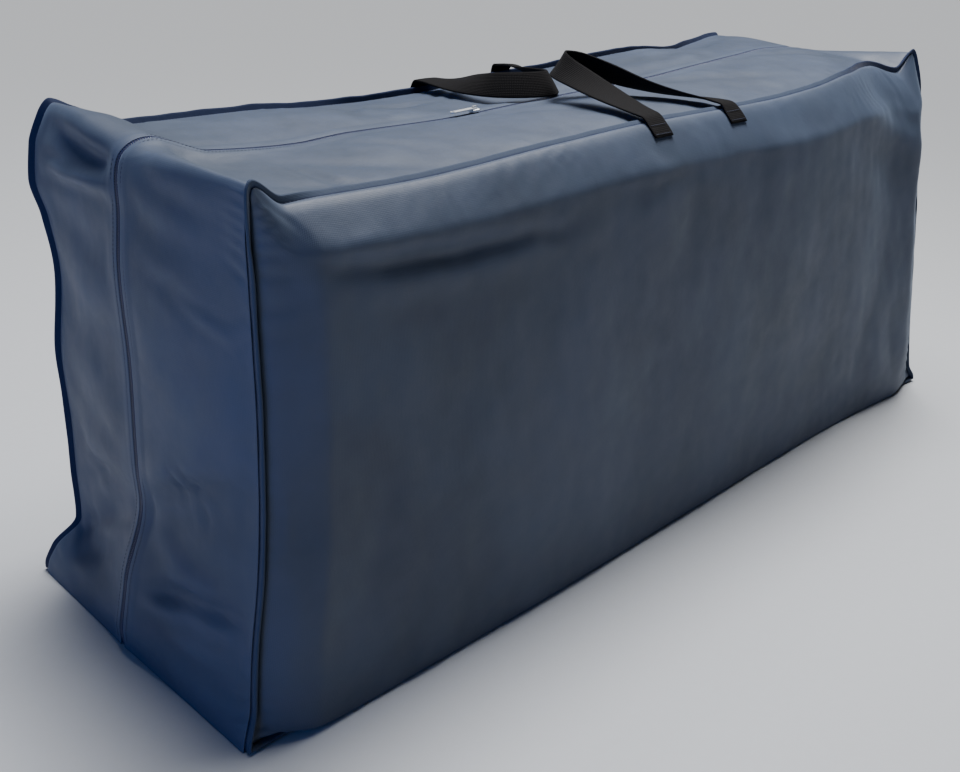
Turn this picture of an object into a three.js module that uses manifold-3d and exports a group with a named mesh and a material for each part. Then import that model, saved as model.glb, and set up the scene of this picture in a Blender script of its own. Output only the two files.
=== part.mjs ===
// A zipped storage bag for garden seat cushions, standing on its base and filled out.
// Two long side panels are sewn to a narrow strip that runs up the near end, over the top and
// down the far end. A zip halves that strip, a bound flange stands along each side panel's
// seam, and a loop of webbing is sewn to each side panel. Millimetres, +X along the bag towards
// the far end, -Y towards the front panel, +Z up.

import * as THREE from "three";
import Module from "manifold-3d";
import { mergeVertices } from "three/addons/utils/BufferGeometryUtils.js";

const wasm = await Module();
wasm.setup();

// Driving dimensions of the bag
const LENGTH = 1260;
const DEPTH = 370; // between the two seams, at the corners
const HEIGHT = 500;
const CLOTH = 2; // thickness of every cloth panel
const CLEARANCE = 0.4; // between pieces that are sewn or fitted together

// Bound flange along each seam, and the base seam's height over the floor
const FLANGE_WIDTH = 10;
const FLANGE_THICKNESS = 3;
const BASE_SEAM_RISE = CLOTH + 2 * CLEARANCE + FLANGE_THICKNESS / 2;

const FOOT_SPREAD = 1; // how far the strip's two feet step out round the base seams

// Rounding of the filled side panels away from their seams, and of the strip at the top corners
const FRONT_BULGE = 34;
const REAR_BULGE = 30;
const EDGE_ROUNDING = 36;
const FOOT_ROUNDING = 90; // how far from an end the hanging foot reaches the floor
const SEAM_CORNER = 8;
const ZIP_CORNER = 45;

const ZIP_WIDTH = 6;
const ZIP_THICKNESS = 2;

// Handles: 32 mm webbing, each loop sewn down by two feet
const WEBBING_WIDTH = 32;
const WEBBING_THICKNESS = 2.4;

// Cells along the height, along the length, and across half of the strip
const CELLS_UP = 14;
const CELLS_ALONG = 28;
const CELLS_ACROSS = 4;
const CROWDING = 0.75; // how much closer the cells lie near the corners

// How far each line lies off the plain box. "at" runs 0 to 1 up the near end, 1 to 2 along the
// top, 2 to 3 down the far end and 3 to 4 back along the base.
const FRONT_SEAM = [
  { at: 0.0, dx: -7, dy: 4, dz: BASE_SEAM_RISE },
  { at: 0.06, dx: 4, dy: 9, dz: 6 },
  { at: 0.18, dx: 6, dy: 8, dz: 0 },
  { at: 0.33, dx: 12, dy: 6, dz: 0 },
  { at: 0.46, dx: 15, dy: 7, dz: 0 },
  { at: 0.6, dx: 14, dy: 7, dz: 0 },
  { at: 0.75, dx: 11, dy: 8, dz: 0 },
  { at: 0.9, dx: 5, dy: 5, dz: 0 },
  { at: 1.0, dx: 0, dy: -2, dz: 4 },
  { at: 1.03, dx: -2, dy: 2, dz: -17 },
  { at: 1.12, dx: 0, dy: 1, dz: -18 },
  { at: 1.3, dx: 0, dy: 4, dz: -8 },
  { at: 1.4, dx: 0, dy: 6, dz: -3 },
  { at: 1.6, dx: 0, dy: 8, dz: 0 },
  { at: 1.7, dx: -5, dy: 11, dz: 6 },
  { at: 1.8, dx: -22, dy: 22, dz: 15 },
  { at: 1.9, dx: -46, dy: 44, dz: 17 },
  { at: 1.96, dx: -54, dy: 36, dz: 5 },
  { at: 2.0, dx: -58, dy: 34, dz: 32 },
  { at: 2.06, dx: -52, dy: 24, dz: 12 },
  { at: 2.2, dx: -45, dy: 18, dz: 0 },
  { at: 2.5, dx: -26, dy: 12, dz: 0 },
  { at: 2.82, dx: -4, dy: 8, dz: 0 },
  { at: 2.94, dx: 8, dy: 6, dz: 2 },
  { at: 3.0, dx: 28, dy: 4, dz: BASE_SEAM_RISE },
  { at: 3.06, dx: 2, dy: 14, dz: BASE_SEAM_RISE },
  { at: 3.2, dx: 0, dy: 20, dz: BASE_SEAM_RISE },
  { at: 3.5, dx: 0, dy: 12, dz: BASE_SEAM_RISE },
  { at: 3.75, dx: 0, dy: 5, dz: BASE_SEAM_RISE },
  { at: 3.94, dx: -3, dy: 5, dz: BASE_SEAM_RISE },
  { at: 4.0, dx: -7, dy: 4, dz: BASE_SEAM_RISE },
];

const REAR_SEAM = [
  { at: 0.0, dx: 4, dy: 12, dz: BASE_SEAM_RISE },
  { at: 0.05, dx: 11, dy: 3, dz: 8 },
  { at: 0.13, dx: 34, dy: -12, dz: 2 },
  { at: 0.25, dx: 30, dy: -14, dz: 0 },
  { at: 0.36, dx: 28, dy: -14, dz: 0 },
  { at: 0.52, dx: 22, dy: -13, dz: 0 },
  { at: 0.68, dx: 27, dy: -12, dz: 0 },
  { at: 0.8, dx: 20, dy: -7, dz: 2 },
  { at: 0.88, dx: 11, dy: -3, dz: 2 },
  { at: 0.95, dx: 13, dy: -4, dz: 2 },
  { at: 1.0, dx: 24, dy: -8, dz: 13 },
  { at: 1.03, dx: 14, dy: -9, dz: 1 },
  { at: 1.07, dx: 6, dy: -10, dz: -17 },
  { at: 1.2, dx: 0, dy: -5, dz: -17 },
  { at: 1.28, dx: 0, dy: -5, dz: -21 },
  { at: 1.4, dx: 0, dy: -6, dz: -17 },
  { at: 1.5, dx: 0, dy: -6, dz: -9 },
  { at: 1.6, dx: 0, dy: -5, dz: -2 },
  { at: 1.7, dx: 0, dy: -3, dz: 7 },
  { at: 1.77, dx: -8, dy: 0, dz: 10 },
  { at: 1.86, dx: -22, dy: 0, dz: 5 },
  { at: 1.92, dx: -34, dy: 0, dz: 13 },
  { at: 2.0, dx: -52, dy: 2, dz: 22 },
  { at: 2.08, dx: -48, dy: 0, dz: 10 },
  { at: 2.3, dx: -34, dy: -8, dz: 0 },
  { at: 2.6, dx: -16, dy: -12, dz: 0 },
  { at: 2.86, dx: 0, dy: -8, dz: 2 },
  { at: 3.0, dx: 12, dy: 8, dz: BASE_SEAM_RISE },
  { at: 3.1, dx: 2, dy: -8, dz: BASE_SEAM_RISE },
  { at: 3.9, dx: -2, dy: -8, dz: BASE_SEAM_RISE },
  { at: 4.0, dx: 4, dy: 12, dz: BASE_SEAM_RISE },
];

const ZIP_LINE = [
  { at: 0.0, dx: -6, dy: 25, dz: 1.4 },
  { at: 0.06, dx: -13, dy: 14, dz: 2 },
  { at: 0.16, dx: -10, dy: 7, dz: 2 },
  { at: 0.31, dx: 8, dy: 4, dz: 2 },
  { at: 0.4, dx: 3, dy: 0, dz: 0 },
  { at: 0.6, dx: 0, dy: -1, dz: 0 },
  { at: 0.8, dx: -5, dy: 2, dz: 0 },
  { at: 0.9, dx: -3, dy: 2, dz: 0 },
  { at: 1.0, dx: -8, dy: 6, dz: 11 },
  { at: 1.03, dx: -7, dy: 5, dz: 8 },
  { at: 1.07, dx: 0, dy: 0, dz: -10 },
  { at: 1.15, dx: -2, dy: 0, dz: -15 },
  { at: 1.2, dx: 0, dy: -1, dz: -11 },
  { at: 1.3, dx: 0, dy: -2, dz: -10 },
  { at: 1.4, dx: 0, dy: -1, dz: -4 },
  { at: 1.6, dx: 0, dy: 1, dz: 8 },
  { at: 1.7, dx: -1, dy: 8, dz: 16 },
  { at: 1.8, dx: -20, dy: 16, dz: 22 },
  { at: 1.9, dx: -42, dy: 26, dz: 26 },
  { at: 2.0, dx: -56, dy: 26, dz: 22 },
  { at: 2.1, dx: -52, dy: 20, dz: 8 },
  { at: 2.3, dx: -34, dy: 12, dz: 0 },
  { at: 2.6, dx: -17, dy: 6, dz: 0 },
  { at: 3.0, dx: 6, dy: 0, dz: 1.4 },
];

// Lean of each flange: 0 stands straight off the strip, 90 straight off the side panel, and a
// negative lean lies back over the strip.
const FRONT_LEAN = [
  { at: 0.0, lean: 86 },
  { at: 0.1, lean: 74 },
  { at: 0.85, lean: 70 },
  { at: 0.98, lean: 34 },
  { at: 1.02, lean: 8 },
  { at: 1.07, lean: -48 },
  { at: 1.6, lean: -56 },
  { at: 1.78, lean: -46 },
  { at: 1.9, lean: -14 },
  { at: 1.97, lean: 14 },
  { at: 2.06, lean: 40 },
  { at: 2.9, lean: 62 },
  { at: 3.0, lean: 86 },
  { at: 4.0, lean: 86 },
];
const REAR_LEAN = [
  { at: 0.0, lean: 80 },
  { at: 0.12, lean: 52 },
  { at: 0.9, lean: 44 },
  { at: 1.0, lean: 38 },
  { at: 1.1, lean: 26 },
  { at: 1.28, lean: 18 },
  { at: 1.34, lean: -8 },
  { at: 1.8, lean: -4 },
  { at: 2.0, lean: 36 },
  { at: 2.9, lean: 56 },
  { at: 3.0, lean: 86 },
  { at: 4.0, lean: 80 },
];

// Crown of the strip between a seam and the zip: how far its filled cloth stands proud
const STRIP_CROWN = [
  { at: 0.0, front: 0, rear: 0 },
  { at: 0.1, front: 3, rear: -6 },
  { at: 0.2, front: 2, rear: -4 },
  { at: 0.4, front: 7, rear: 5 },
  { at: 0.75, front: 6, rear: 5 },
  { at: 0.88, front: 6, rear: -2 },
  { at: 0.94, front: 5, rear: 4 },
  { at: 1.0, front: 5, rear: 9 },
  { at: 1.06, front: -4, rear: 6 },
  { at: 1.15, front: 2, rear: 6 },
  { at: 1.4, front: 7, rear: 5 },
  { at: 1.8, front: 5, rear: 6 },
  { at: 2.0, front: 6, rear: 6 },
  { at: 2.5, front: 10, rear: 10 },
  { at: 3.0, front: 0, rear: 0 },
];

// Foot of a side panel, where the slack cloth hangs over the base flange to the floor:
// a row's height up the flat cloth, how far it stands out, and how high over the floor it hangs
const HEM = [
  { height: 0, out: 0, rise: BASE_SEAM_RISE + 3 },
  { height: 9.8, out: 15, rise: 9 },
  { height: 24.8, out: 21.5, rise: 1.6 },
  { height: 49, out: 26, rise: 28 },
  { height: 85, out: 29, rise: 76 },
  { height: 130, out: 31, rise: 130 },
  { height: 200, out: FRONT_BULGE, rise: 204 },
];

// Soft folds pressed into the cloth: two ends, half width and depth (a ridge is negative)
const FOLDS = [
  // valley under the rear top corner
  { from: [-612, 160, 486], to: [-634, 10, 486], wide: 15, deep: 9 },
  // ridge below it
  { from: [-612, 165, 462], to: [-634, 15, 466], wide: 12, deep: -5 },
  // kink above the flared foot
  { from: [-608, 150, 74], to: [-628, -10, 160], wide: 20, deep: 9 },
  // kink towards the front seam
  { from: [-628, -10, 160], to: [-620, -170, 215], wide: 22, deep: 6 },
  // ridge to the lower rear corner
  { from: [-628, 30, 130], to: [-636, 170, 30], wide: 16, deep: -7 },
  // level valley by the front seam
  { from: [-632, -15, 82], to: [-628, -170, 112], wide: 16, deep: 6 },
  // dip behind the near top edge
  { from: [-572, 60, 494], to: [-590, -150, 490], wide: 24, deep: 7 },
  // long crease in the top
  { from: [-500, -50, 492], to: [-400, -160, 490], wide: 14, deep: 4 },
  // crease beside it
  { from: [-560, -120, 490], to: [-470, -165, 488], wide: 12, deep: 3 },
  // crease along the rear of the top
  { from: [-290, 92, 492], to: [-150, 96, 496], wide: 14, deep: 3 },
  // crease below the front edge
  { from: [-600, -212, 428], to: [-280, -214, 414], wide: 16, deep: 4 },
  // hollow under the far front corner
  { from: [430, -190, 500], to: [560, -196, 440], wide: 34, deep: 8 },
];

// Centre line of a handle, from its near foot to its far foot. "turn" is the webbing's twist:
// 0 lies flat and 90 stands on edge.
const FRONT_HANDLE = [
  { x: -105, y: -180, z: 507, turn: 2 },
  { x: -106, y: -160, z: 511, turn: 4 },
  { x: -102, y: -112, z: 522, turn: 20 },
  { x: -93, y: -60, z: 534, turn: 38 },
  { x: -86, y: -30, z: 541, turn: 52 },
  { x: -70, y: -14, z: 544, turn: 60 },
  { x: -47, y: -24, z: 542, turn: 62 },
  { x: -28, y: -56, z: 533, turn: 54 },
  { x: -6, y: -98, z: 521, turn: 30 },
  { x: 17, y: -132, z: 514, turn: 14 },
  { x: 38, y: -159, z: 510, turn: 4 },
  { x: 42, y: -180, z: 508.5, turn: 2 },
];
const REAR_HANDLE = [
  { x: -106, y: 183, z: 502, turn: 2 },
  { x: -110, y: 158, z: 503, turn: 4 },
  { x: -122, y: 116, z: 506, turn: 18 },
  { x: -133, y: 66, z: 512, turn: 44 },
  { x: -130, y: 24, z: 516, turn: 60 },
  { x: -106, y: 3, z: 517, turn: 62 },
  { x: -76, y: -2, z: 517, turn: 62 },
  { x: -54, y: 8, z: 517, turn: 58 },
  { x: -38, y: 38, z: 516, turn: 48 },
  { x: -16, y: 84, z: 515, turn: 30 },
  { x: 14, y: 130, z: 514, turn: 18 },
  { x: 36, y: 164, z: 512, turn: 4 },
  { x: 42, y: 184, z: 511, turn: 2 },
];
const FOOT_LENGTHS = [0.04, 0.3, 0.62, 1]; // shares of the way from the seam down the rounding
const FOOT_DROP = 13; // height of the stretch that a foot covers
const CELLS_PER_HANDLE_ROW = 3;

// Zip slider and its pull, lying along the zip towards the near end
const SLIDER_X = -196;
const SLIDER = { length: 11, nose: 9, tail: 6.5, height: 3.4, bevel: 0.5, lift: 1.2 };
const BAIL = { span: 7, rise: 3.6, bar: 1.1, width: 2.4 };
const PULL = { length: 38, width: 7.5, thickness: 1.3, hole: 1.9 };

const fabric = new THREE.MeshStandardMaterial({ color: 0x3c4860, roughness: 0.62, metalness: 0 });
const bindingTape = new THREE.MeshStandardMaterial({ color: 0x161f38, roughness: 0.7, metalness: 0 });
const webbing = new THREE.MeshStandardMaterial({ color: 0x141417, roughness: 0.8, metalness: 0 });
const zipCoil = new THREE.MeshStandardMaterial({ color: 0x10151f, roughness: 0.55, metalness: 0 });
const nickel = new THREE.MeshStandardMaterial({ color: 0xc4c7cc, roughness: 0.3, metalness: 1 });

const vector = (x, y, z) => new THREE.Vector3(x, y, z);
const radians = (degrees) => (degrees * Math.PI) / 180;

/** Smooth value of one column of a table at a place, with no overshoot between its rows. */
function read(table, key, place, column) {
  const last = table.length - 1;
  if (place <= table[0][key]) return table[0][column];
  if (place >= table[last][key]) return table[last][column];
  const slope = (k) => {
    if (k === 0 || k === last) return 0;
    const before = (table[k][column] - table[k - 1][column]) / (table[k][key] - table[k - 1][key]);
    const after = (table[k + 1][column] - table[k][column]) / (table[k + 1][key] - table[k][key]);
    return before * after > 0 ? (2 * before * after) / (before + after) : 0;
  };
  const k = table.findIndex((row) => row[key] >= place) - 1;
  const step = table[k + 1][key] - table[k][key];
  const u = (place - table[k][key]) / step;
  const start = (2 * u ** 3 - 3 * u ** 2 + 1) * table[k][column];
  const end = (3 * u ** 2 - 2 * u ** 3) * table[k + 1][column];
  const bends = (u ** 3 - 2 * u ** 2 + u) * slope(k) + (u ** 3 - u ** 2) * slope(k + 1);
  return start + end + bends * step;
}

/** A quarter ellipse's rise: 0 at the seam, 1 once past the rounding. */
function rounded(distance, radius) {
  const left = 1 - Math.min(Math.max(distance / radius, 0), 1);
  return Math.sqrt(1 - left * left);
}

/** Shares of an edge at which the cells meet, crowded towards both ends. */
function stations(cells) {
  const shares = [];
  for (let k = 0; k <= cells; k++) {
    const u = k / cells;
    shares.push(u - (CROWDING * Math.sin(2 * Math.PI * u)) / (2 * Math.PI));
  }
  return shares;
}

/** A point of the plain box's outline, with its two top corners rounded. */
function boxOutline(at, y, corner) {
  const half = LENGTH / 2;
  if (at > 3) return vector(half - LENGTH * (at - 3), y, 0);
  const x = at <= 1 ? -half : at <= 2 ? -half + LENGTH * (at - 1) : half;
  const z = at <= 1 ? HEIGHT * at : at <= 2 ? HEIGHT : HEIGHT * (3 - at);
  const side = x < 0 ? 1 : -1;
  const inward = half - Math.abs(x);
  const down = HEIGHT - z;
  if (inward >= corner || down >= corner) return vector(x, y, z);
  const turn = (Math.PI / 2) * (0.5 + (inward - down) / (2 * corner));
  const around = corner - corner * Math.cos(turn);
  return vector(side * (around - half), y, HEIGHT - corner + corner * Math.sin(turn));
}

/** A point of a seam or of the zip. */
function along(line, at, y, corner) {
  const point = boxOutline(at, y, corner);
  point.x += read(line, "at", at, "dx");
  point.y += read(line, "at", at, "dy");
  point.z += read(line, "at", at, "dz");
  return point;
}

/** Outward direction off the outline: -X up the near end, then +Z, +X, and -Z along the base. */
function stripNormal(at) {
  const turned = (from, to) => THREE.MathUtils.smoothstep(at, from, to);
  const top = turned(0.94, 1.04) + turned(1.96, 2.06);
  const base = turned(-0.02, 0.02) + turned(2.98, 3.02) + turned(3.98, 4.02);
  const angle = (Math.PI / 2) * (top + base - 1);
  return vector(-Math.cos(angle), 0, Math.sin(angle));
}

/** One of the two seams, with its flange's direction and the side on which its panel lies. */
function seamSide(side) {
  const front = side < 0;
  const line = front ? FRONT_SEAM : REAR_SEAM;
  const leans = front ? FRONT_LEAN : REAR_LEAN;
  return (at) => {
    const lean = radians(read(leans, "at", at, "lean"));
    const off = stripNormal(at);
    const out = vector(0, side, 0);
    const mitre = [0, 3, 4].includes(at) ? Math.SQRT2 : 1;
    return {
      root: along(line, at, (side * DEPTH) / 2, SEAM_CORNER),
      flange: off.clone().multiplyScalar(Math.cos(lean)).addScaledVector(out, Math.sin(lean)),
      panel: out
        .clone()
        .multiplyScalar(Math.cos(lean))
        .addScaledVector(off, -Math.sin(lean))
        .multiplyScalar(mitre),
    };
  };
}

const frontSeam = seamSide(-1);
const rearSeam = seamSide(1);
const SEWN_APART = FLANGE_THICKNESS / 2 + 2 * CLEARANCE + CLOTH / 2;

/** Where a side panel's edge is sewn, beside the flange. */
function panelEdge(seam, at) {
  const { root, panel, flange } = seam(at);
  return root.addScaledVector(panel, SEWN_APART).addScaledVector(flange, CLEARANCE);
}

/** Where the strip's edge is sewn, on the flange's other side. */
function stripEdge(seam, at) {
  const { root, panel, flange } = seam(at);
  return root.addScaledVector(panel, -SEWN_APART).addScaledVector(flange, CLEARANCE);
}

/** Presses the soft folds into a point, less so where its edge (mm away) holds the cloth. */
function fold(point, outward, fromEdge) {
  const free = Math.min(fromEdge / EDGE_ROUNDING, 1);
  for (const { from, to, wide, deep } of FOLDS) {
    const a = vector(...from);
    const run = vector(...to).sub(a);
    const share = THREE.MathUtils.clamp(point.clone().sub(a).dot(run) / run.lengthSq(), 0, 1);
    const distance = point.distanceTo(a.clone().addScaledVector(run, share));
    const taper = Math.sin(Math.PI * THREE.MathUtils.clamp(share, 0.12, 0.88));
    const press = deep * taper * Math.exp(-((distance / wide) ** 2));
    if (distance < 3 * wide) point.addScaledVector(outward, -press * free);
  }
  return point;
}

/** A side panel's point: the patch between its four seams, filled out and hung to the floor. */
function panelPoint(seam, side, bulge, across, up) {
  const edge = (at) => panelEdge(seam, at);
  const mix = (a, b, share) => a.clone().lerp(b, share);
  const base = edge(4 - across);
  const sides = mix(edge(up), edge(3 - up), across);
  const ends = mix(base, edge(1 + across), up);
  const corners = mix(mix(edge(0), edge(3), across), mix(edge(1), edge(2), across), up);
  const point = sides.add(ends).sub(corners);
  const height = up * HEIGHT;
  const fromSide = Math.min(across, 1 - across) * LENGTH;
  const sideways = rounded(fromSide, EDGE_ROUNDING);
  const low = 1 - THREE.MathUtils.smoothstep(height, HEM[3].height, HEM.at(-1).height);
  point.y += (base.y - point.y) * low * sideways;
  const out = (read(HEM, "height", height, "out") * bulge) / FRONT_BULGE;
  const filled = out * sideways * rounded(HEIGHT - height, EDGE_ROUNDING);
  point.y += side * filled;
  if (height > 0 && height < HEM.at(-1).height) {
    const rise = read(HEM, "height", height, "rise");
    point.z += (rise - point.z) * rounded(fromSide, FOOT_ROUNDING);
  }
  return fold(point, vector(0, side, 0), Math.min(fromSide, height, HEIGHT - height));
}

/** A closed sheet of cloth on a grid of points; "turned" is 1 where its rows turn its face out. */
function clothSheet(rows, turned, rimNormal = () => null) {
  const down = rows.length;
  const wide = rows[0].length;
  const run = (from, to) => to.clone().sub(from).normalize();
  const normalAt = (i, j) => {
    const here = rows[i][j];
    const along = run(rows[Math.max(i - 1, 0)][j], here);
    along.add(run(here, rows[Math.min(i + 1, down - 1)][j]));
    const across = run(rows[i][Math.max(j - 1, 0)], here);
    across.add(run(here, rows[i][Math.min(j + 1, wide - 1)]));
    return along.cross(across).setLength(turned);
  };
  const positions = [];
  for (const offset of [CLOTH / 2, -CLOTH / 2]) {
    for (let i = 0; i < down; i++) {
      for (let j = 0; j < wide; j++) {
        const normal = rimNormal(i, j) ?? normalAt(i, j);
        positions.push(...rows[i][j].clone().addScaledVector(normal, offset).toArray());
      }
    }
  }
  const index = [];
  const outer = (i, j) => i * wide + j;
  const inner = (i, j) => down * wide + outer(i, j);
  const quad = (a, b, c, d) => index.push(a, b, c, a, c, d);
  for (let i = 0; i + 1 < down; i++) {
    for (let j = 0; j + 1 < wide; j++) {
      quad(outer(i, j), outer(i + 1, j), outer(i + 1, j + 1), outer(i, j + 1));
      quad(inner(i, j), inner(i, j + 1), inner(i + 1, j + 1), inner(i + 1, j));
    }
  }
  for (let i = 0; i + 1 < down; i++) {
    quad(outer(i, 0), inner(i, 0), inner(i + 1, 0), outer(i + 1, 0));
    quad(outer(i, wide - 1), outer(i + 1, wide - 1), inner(i + 1, wide - 1), inner(i, wide - 1));
  }
  for (let j = 0; j + 1 < wide; j++) {
    quad(outer(0, j), outer(0, j + 1), inner(0, j + 1), inner(0, j));
    quad(outer(down - 1, j), inner(down - 1, j), inner(down - 1, j + 1), outer(down - 1, j + 1));
  }
  return facingOut(positions, index);
}

/** Geometry from corners and faces, turned right side out if its volume comes out negative. */
function facingOut(positions, index) {
  let volume = 0;
  const at = (k) => vector(...positions.slice(3 * k, 3 * k + 3));
  for (let k = 0; k < index.length; k += 3) {
    volume += at(index[k]).dot(at(index[k + 1]).cross(at(index[k + 2])));
  }
  if (volume < 0) {
    for (let k = 0; k < index.length; k += 3) {
      [index[k + 1], index[k + 2]] = [index[k + 2], index[k + 1]];
    }
  }
  const geometry = new THREE.BufferGeometry();
  geometry.setAttribute("position", new THREE.Float32BufferAttribute(positions, 3));
  geometry.setIndex(index);
  geometry.computeVertexNormals();
  return geometry;
}

/** A flat strip swept through cross-sections of four corners each; closed joins its ends. */
function sweptStrip(sections, closed = false) {
  const positions = sections.flat().flatMap((corner) => corner.toArray());
  const index = [];
  const count = sections.length;
  for (let k = 0; k < (closed ? count : count - 1); k++) {
    const next = (k + 1) % count;
    for (let c = 0; c < 4; c++) {
      const d = (c + 1) % 4;
      const [p, q, r, s] = [4 * k + c, 4 * next + c, 4 * next + d, 4 * k + d];
      // Opposite faces share one diagonal, so a twist doesn't pinch the strip
      index.push(...(c < 2 ? [p, q, r, p, r, s] : [p, q, s, q, r, s]));
    }
  }
  if (!closed) {
    const end = 4 * (count - 1);
    index.push(0, 1, 2, 0, 2, 3, end, end + 2, end + 1, end, end + 3, end + 2);
  }
  return facingOut(positions, index);
}

/** Four corners of a strip's section about a centre, from its half width and half thickness. */
function section(centre, width, thickness) {
  const corner = (w, t) => centre.clone().addScaledVector(width, w).addScaledVector(thickness, t);
  return [corner(-1, -1), corner(1, -1), corner(1, 1), corner(-1, 1)];
}

const SHARES_UP = stations(CELLS_UP);
const SHARES_ALONG = stations(CELLS_ALONG);
const STRIP_PLACES = [
  ...SHARES_UP,
  ...SHARES_ALONG.slice(1).map((share) => 1 + share),
  ...SHARES_UP.slice(1).map((share) => 2 + share),
];
const RING_PLACES = [...STRIP_PLACES, ...SHARES_ALONG.slice(1, -1).map((share) => 3 + share)];

function sidePanel(seam, side, bulge) {
  const rows = SHARES_UP.map((up) =>
    SHARES_ALONG.map((across) => panelPoint(seam, side, bulge, across, up)),
  );
  return clothSheet(rows, side);
}

function zipPoint(at) {
  return along(ZIP_LINE, at, 0, ZIP_CORNER);
}

/** Direction across the strip, from the front seam to the rear one. */
function acrossStrip(at) {
  return rearSeam(at).root.sub(frontSeam(at).root).normalize();
}

/** Outward direction of the strip's cloth at the zip. */
function zipNormal(at) {
  const step = 0.004;
  const run = zipPoint(Math.min(at + step, 3)).sub(zipPoint(Math.max(at - step, 0)));
  return acrossStrip(at).cross(run).normalize().negate();
}

/** Half of the strip, between one seam and the zip. */
function halfStrip(seam, side) {
  const column = side < 0 ? "front" : "rear";
  const beside = ZIP_WIDTH / 2 + CLEARANCE;
  const rows = STRIP_PLACES.map((at) => {
    const sewn = stripEdge(seam, at);
    const zipped = zipPoint(at).addScaledVector(acrossStrip(at), side * beside);
    const row = [];
    for (let k = 0; k <= CELLS_ACROSS; k++) {
      const share = k / CELLS_ACROSS;
      const crown = 4 * share * (1 - share) * read(STRIP_CROWN, "at", at, column);
      const point = sewn.clone().lerp(zipped, share).addScaledVector(stripNormal(at), crown);
      const fromEdge = Math.min(share, 1 - share) * DEPTH;
      row.push(fold(point, stripNormal(at), fromEdge));
    }
    return row;
  });
  const floorRows = [0, STRIP_PLACES.length - 1];
  for (const i of floorRows) {
    const spread = Math.sign(STRIP_PLACES[i] - 1) * FOOT_SPREAD;
    for (const point of rows[i]) point.set(point.x + spread, point.y, CLEARANCE);
  }
  const rimNormal = (i, j) => {
    const at = STRIP_PLACES[i];
    if (floorRows.includes(i)) return vector(Math.sign(at - 1), 0, 0);
    return j === CELLS_ACROSS ? zipNormal(at) : null;
  };
  return clothSheet(rows, -side, rimNormal);
}

function zipStrip() {
  const sections = STRIP_PLACES.map((at, k) => {
    const centre = zipPoint(at);
    const ends = k === 0 || k === STRIP_PLACES.length - 1;
    if (ends) centre.z = CLEARANCE;
    const normal = ends ? vector(Math.sign(at - 1), 0, 0) : zipNormal(at);
    const half = acrossStrip(at).multiplyScalar(ZIP_WIDTH / 2);
    return section(centre, half, normal.multiplyScalar(ZIP_THICKNESS / 2));
  });
  return sweptStrip(sections);
}

function bindingRing(seam) {
  const sections = RING_PLACES.map((at) => {
    const { root, flange, panel } = seam(at);
    const centre = root.addScaledVector(flange, FLANGE_WIDTH / 2);
    const width = flange.multiplyScalar(FLANGE_WIDTH / 2);
    return section(centre, width, panel.multiplyScalar(FLANGE_THICKNESS / 2));
  });
  return sweptStrip(sections, true);
}

/** The flat base, inside the strip's two feet and under the two base seams. */
function basePanel() {
  const inside = CLOTH + 2 * CLEARANCE;
  const foot = (at, share) => {
    const seam = share < 0.5 ? frontSeam : rearSeam;
    const part = share < 0.5 ? share * 2 : 2 - share * 2;
    return stripEdge(seam, at).lerp(zipPoint(at), part).x;
  };
  const rows = SHARES_ALONG.map((share) => {
    const front = stripEdge(frontSeam, 4 - share).y;
    const rear = stripEdge(rearSeam, 4 - share).y;
    const row = [];
    for (let k = 0; k <= CELLS_ACROSS; k++) {
      const part = k / CELLS_ACROSS;
      const x = THREE.MathUtils.lerp(foot(0, part) + inside, foot(3, part) - inside, share);
      row.push(vector(x, THREE.MathUtils.lerp(front, rear, part), CLOTH / 2));
    }
    return row;
  });
  return clothSheet(rows, 1);
}

/** Foot of a handle: sections down a side panel's rounding, from the seam to the foot's end. */
function footSections(seam, side, bulge, x) {
  const clear = CLOTH / 2 + 2 * CLEARANCE + WEBBING_THICKNESS / 2;
  const panel = (dx, up) => panelPoint(seam, side, bulge, (x + dx) / LENGTH + 0.5, up);
  return FOOT_LENGTHS.map((share) => {
    const up = 1 - (share * FOOT_DROP) / HEIGHT;
    const half = WEBBING_WIDTH / 2;
    const level = panel(half, up).sub(panel(-half, up));
    const run = panel(0, up - 0.004).sub(panel(0, up));
    const outward = level.clone().cross(run).multiplyScalar(side).normalize();
    return { point: panel(0, up).addScaledVector(outward, clear), level, outward };
  });
}

/** A webbing loop: two feet sewn to the rounding, and the standing loop between them. */
function handle(table, seam, side, bulge) {
  const rows = table.map(({ x, y, z }) => vector(x, y, z));
  const curve = new THREE.CatmullRomCurve3(rows, false, "centripetal");
  const steps = (rows.length - 1) * CELLS_PER_HANDLE_ROW;
  const sections = [];
  const place = (centre, width, thickness) => {
    const w = width.clone().normalize().multiplyScalar(WEBBING_WIDTH / 2);
    const t = thickness.clone().normalize().multiplyScalar(WEBBING_THICKNESS / 2);
    sections.push(section(centre, w, t));
  };
  const feet = [table[0].x, table.at(-1).x].map((x) => footSections(seam, side, bulge, x));
  const placeFoot = ({ point, level, outward }, end) =>
    place(point, level.multiplyScalar(-end), outward.multiplyScalar(side));
  feet[0].reverse().forEach((foot) => placeFoot(foot, -1));
  for (let k = 0; k <= steps; k++) {
    const u = k / steps;
    const row = u * (rows.length - 1);
    const turns = table.map(({ turn }, n) => ({ n, turn }));
    const turn = radians(read(turns, "n", row, "turn"));
    const tangent = curve.getTangent(u);
    const lift = vector(0, 0, 1).addScaledVector(tangent, -tangent.z).normalize();
    const level = tangent.clone().cross(lift).multiplyScalar(-side);
    const width = level.clone().multiplyScalar(Math.cos(turn)).addScaledVector(lift, Math.sin(turn));
    place(curve.getPoint(u), width, tangent.clone().cross(width));
  }
  feet[1].forEach((foot) => placeFoot(foot, 1));
  return sweptStrip(sections);
}

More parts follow.
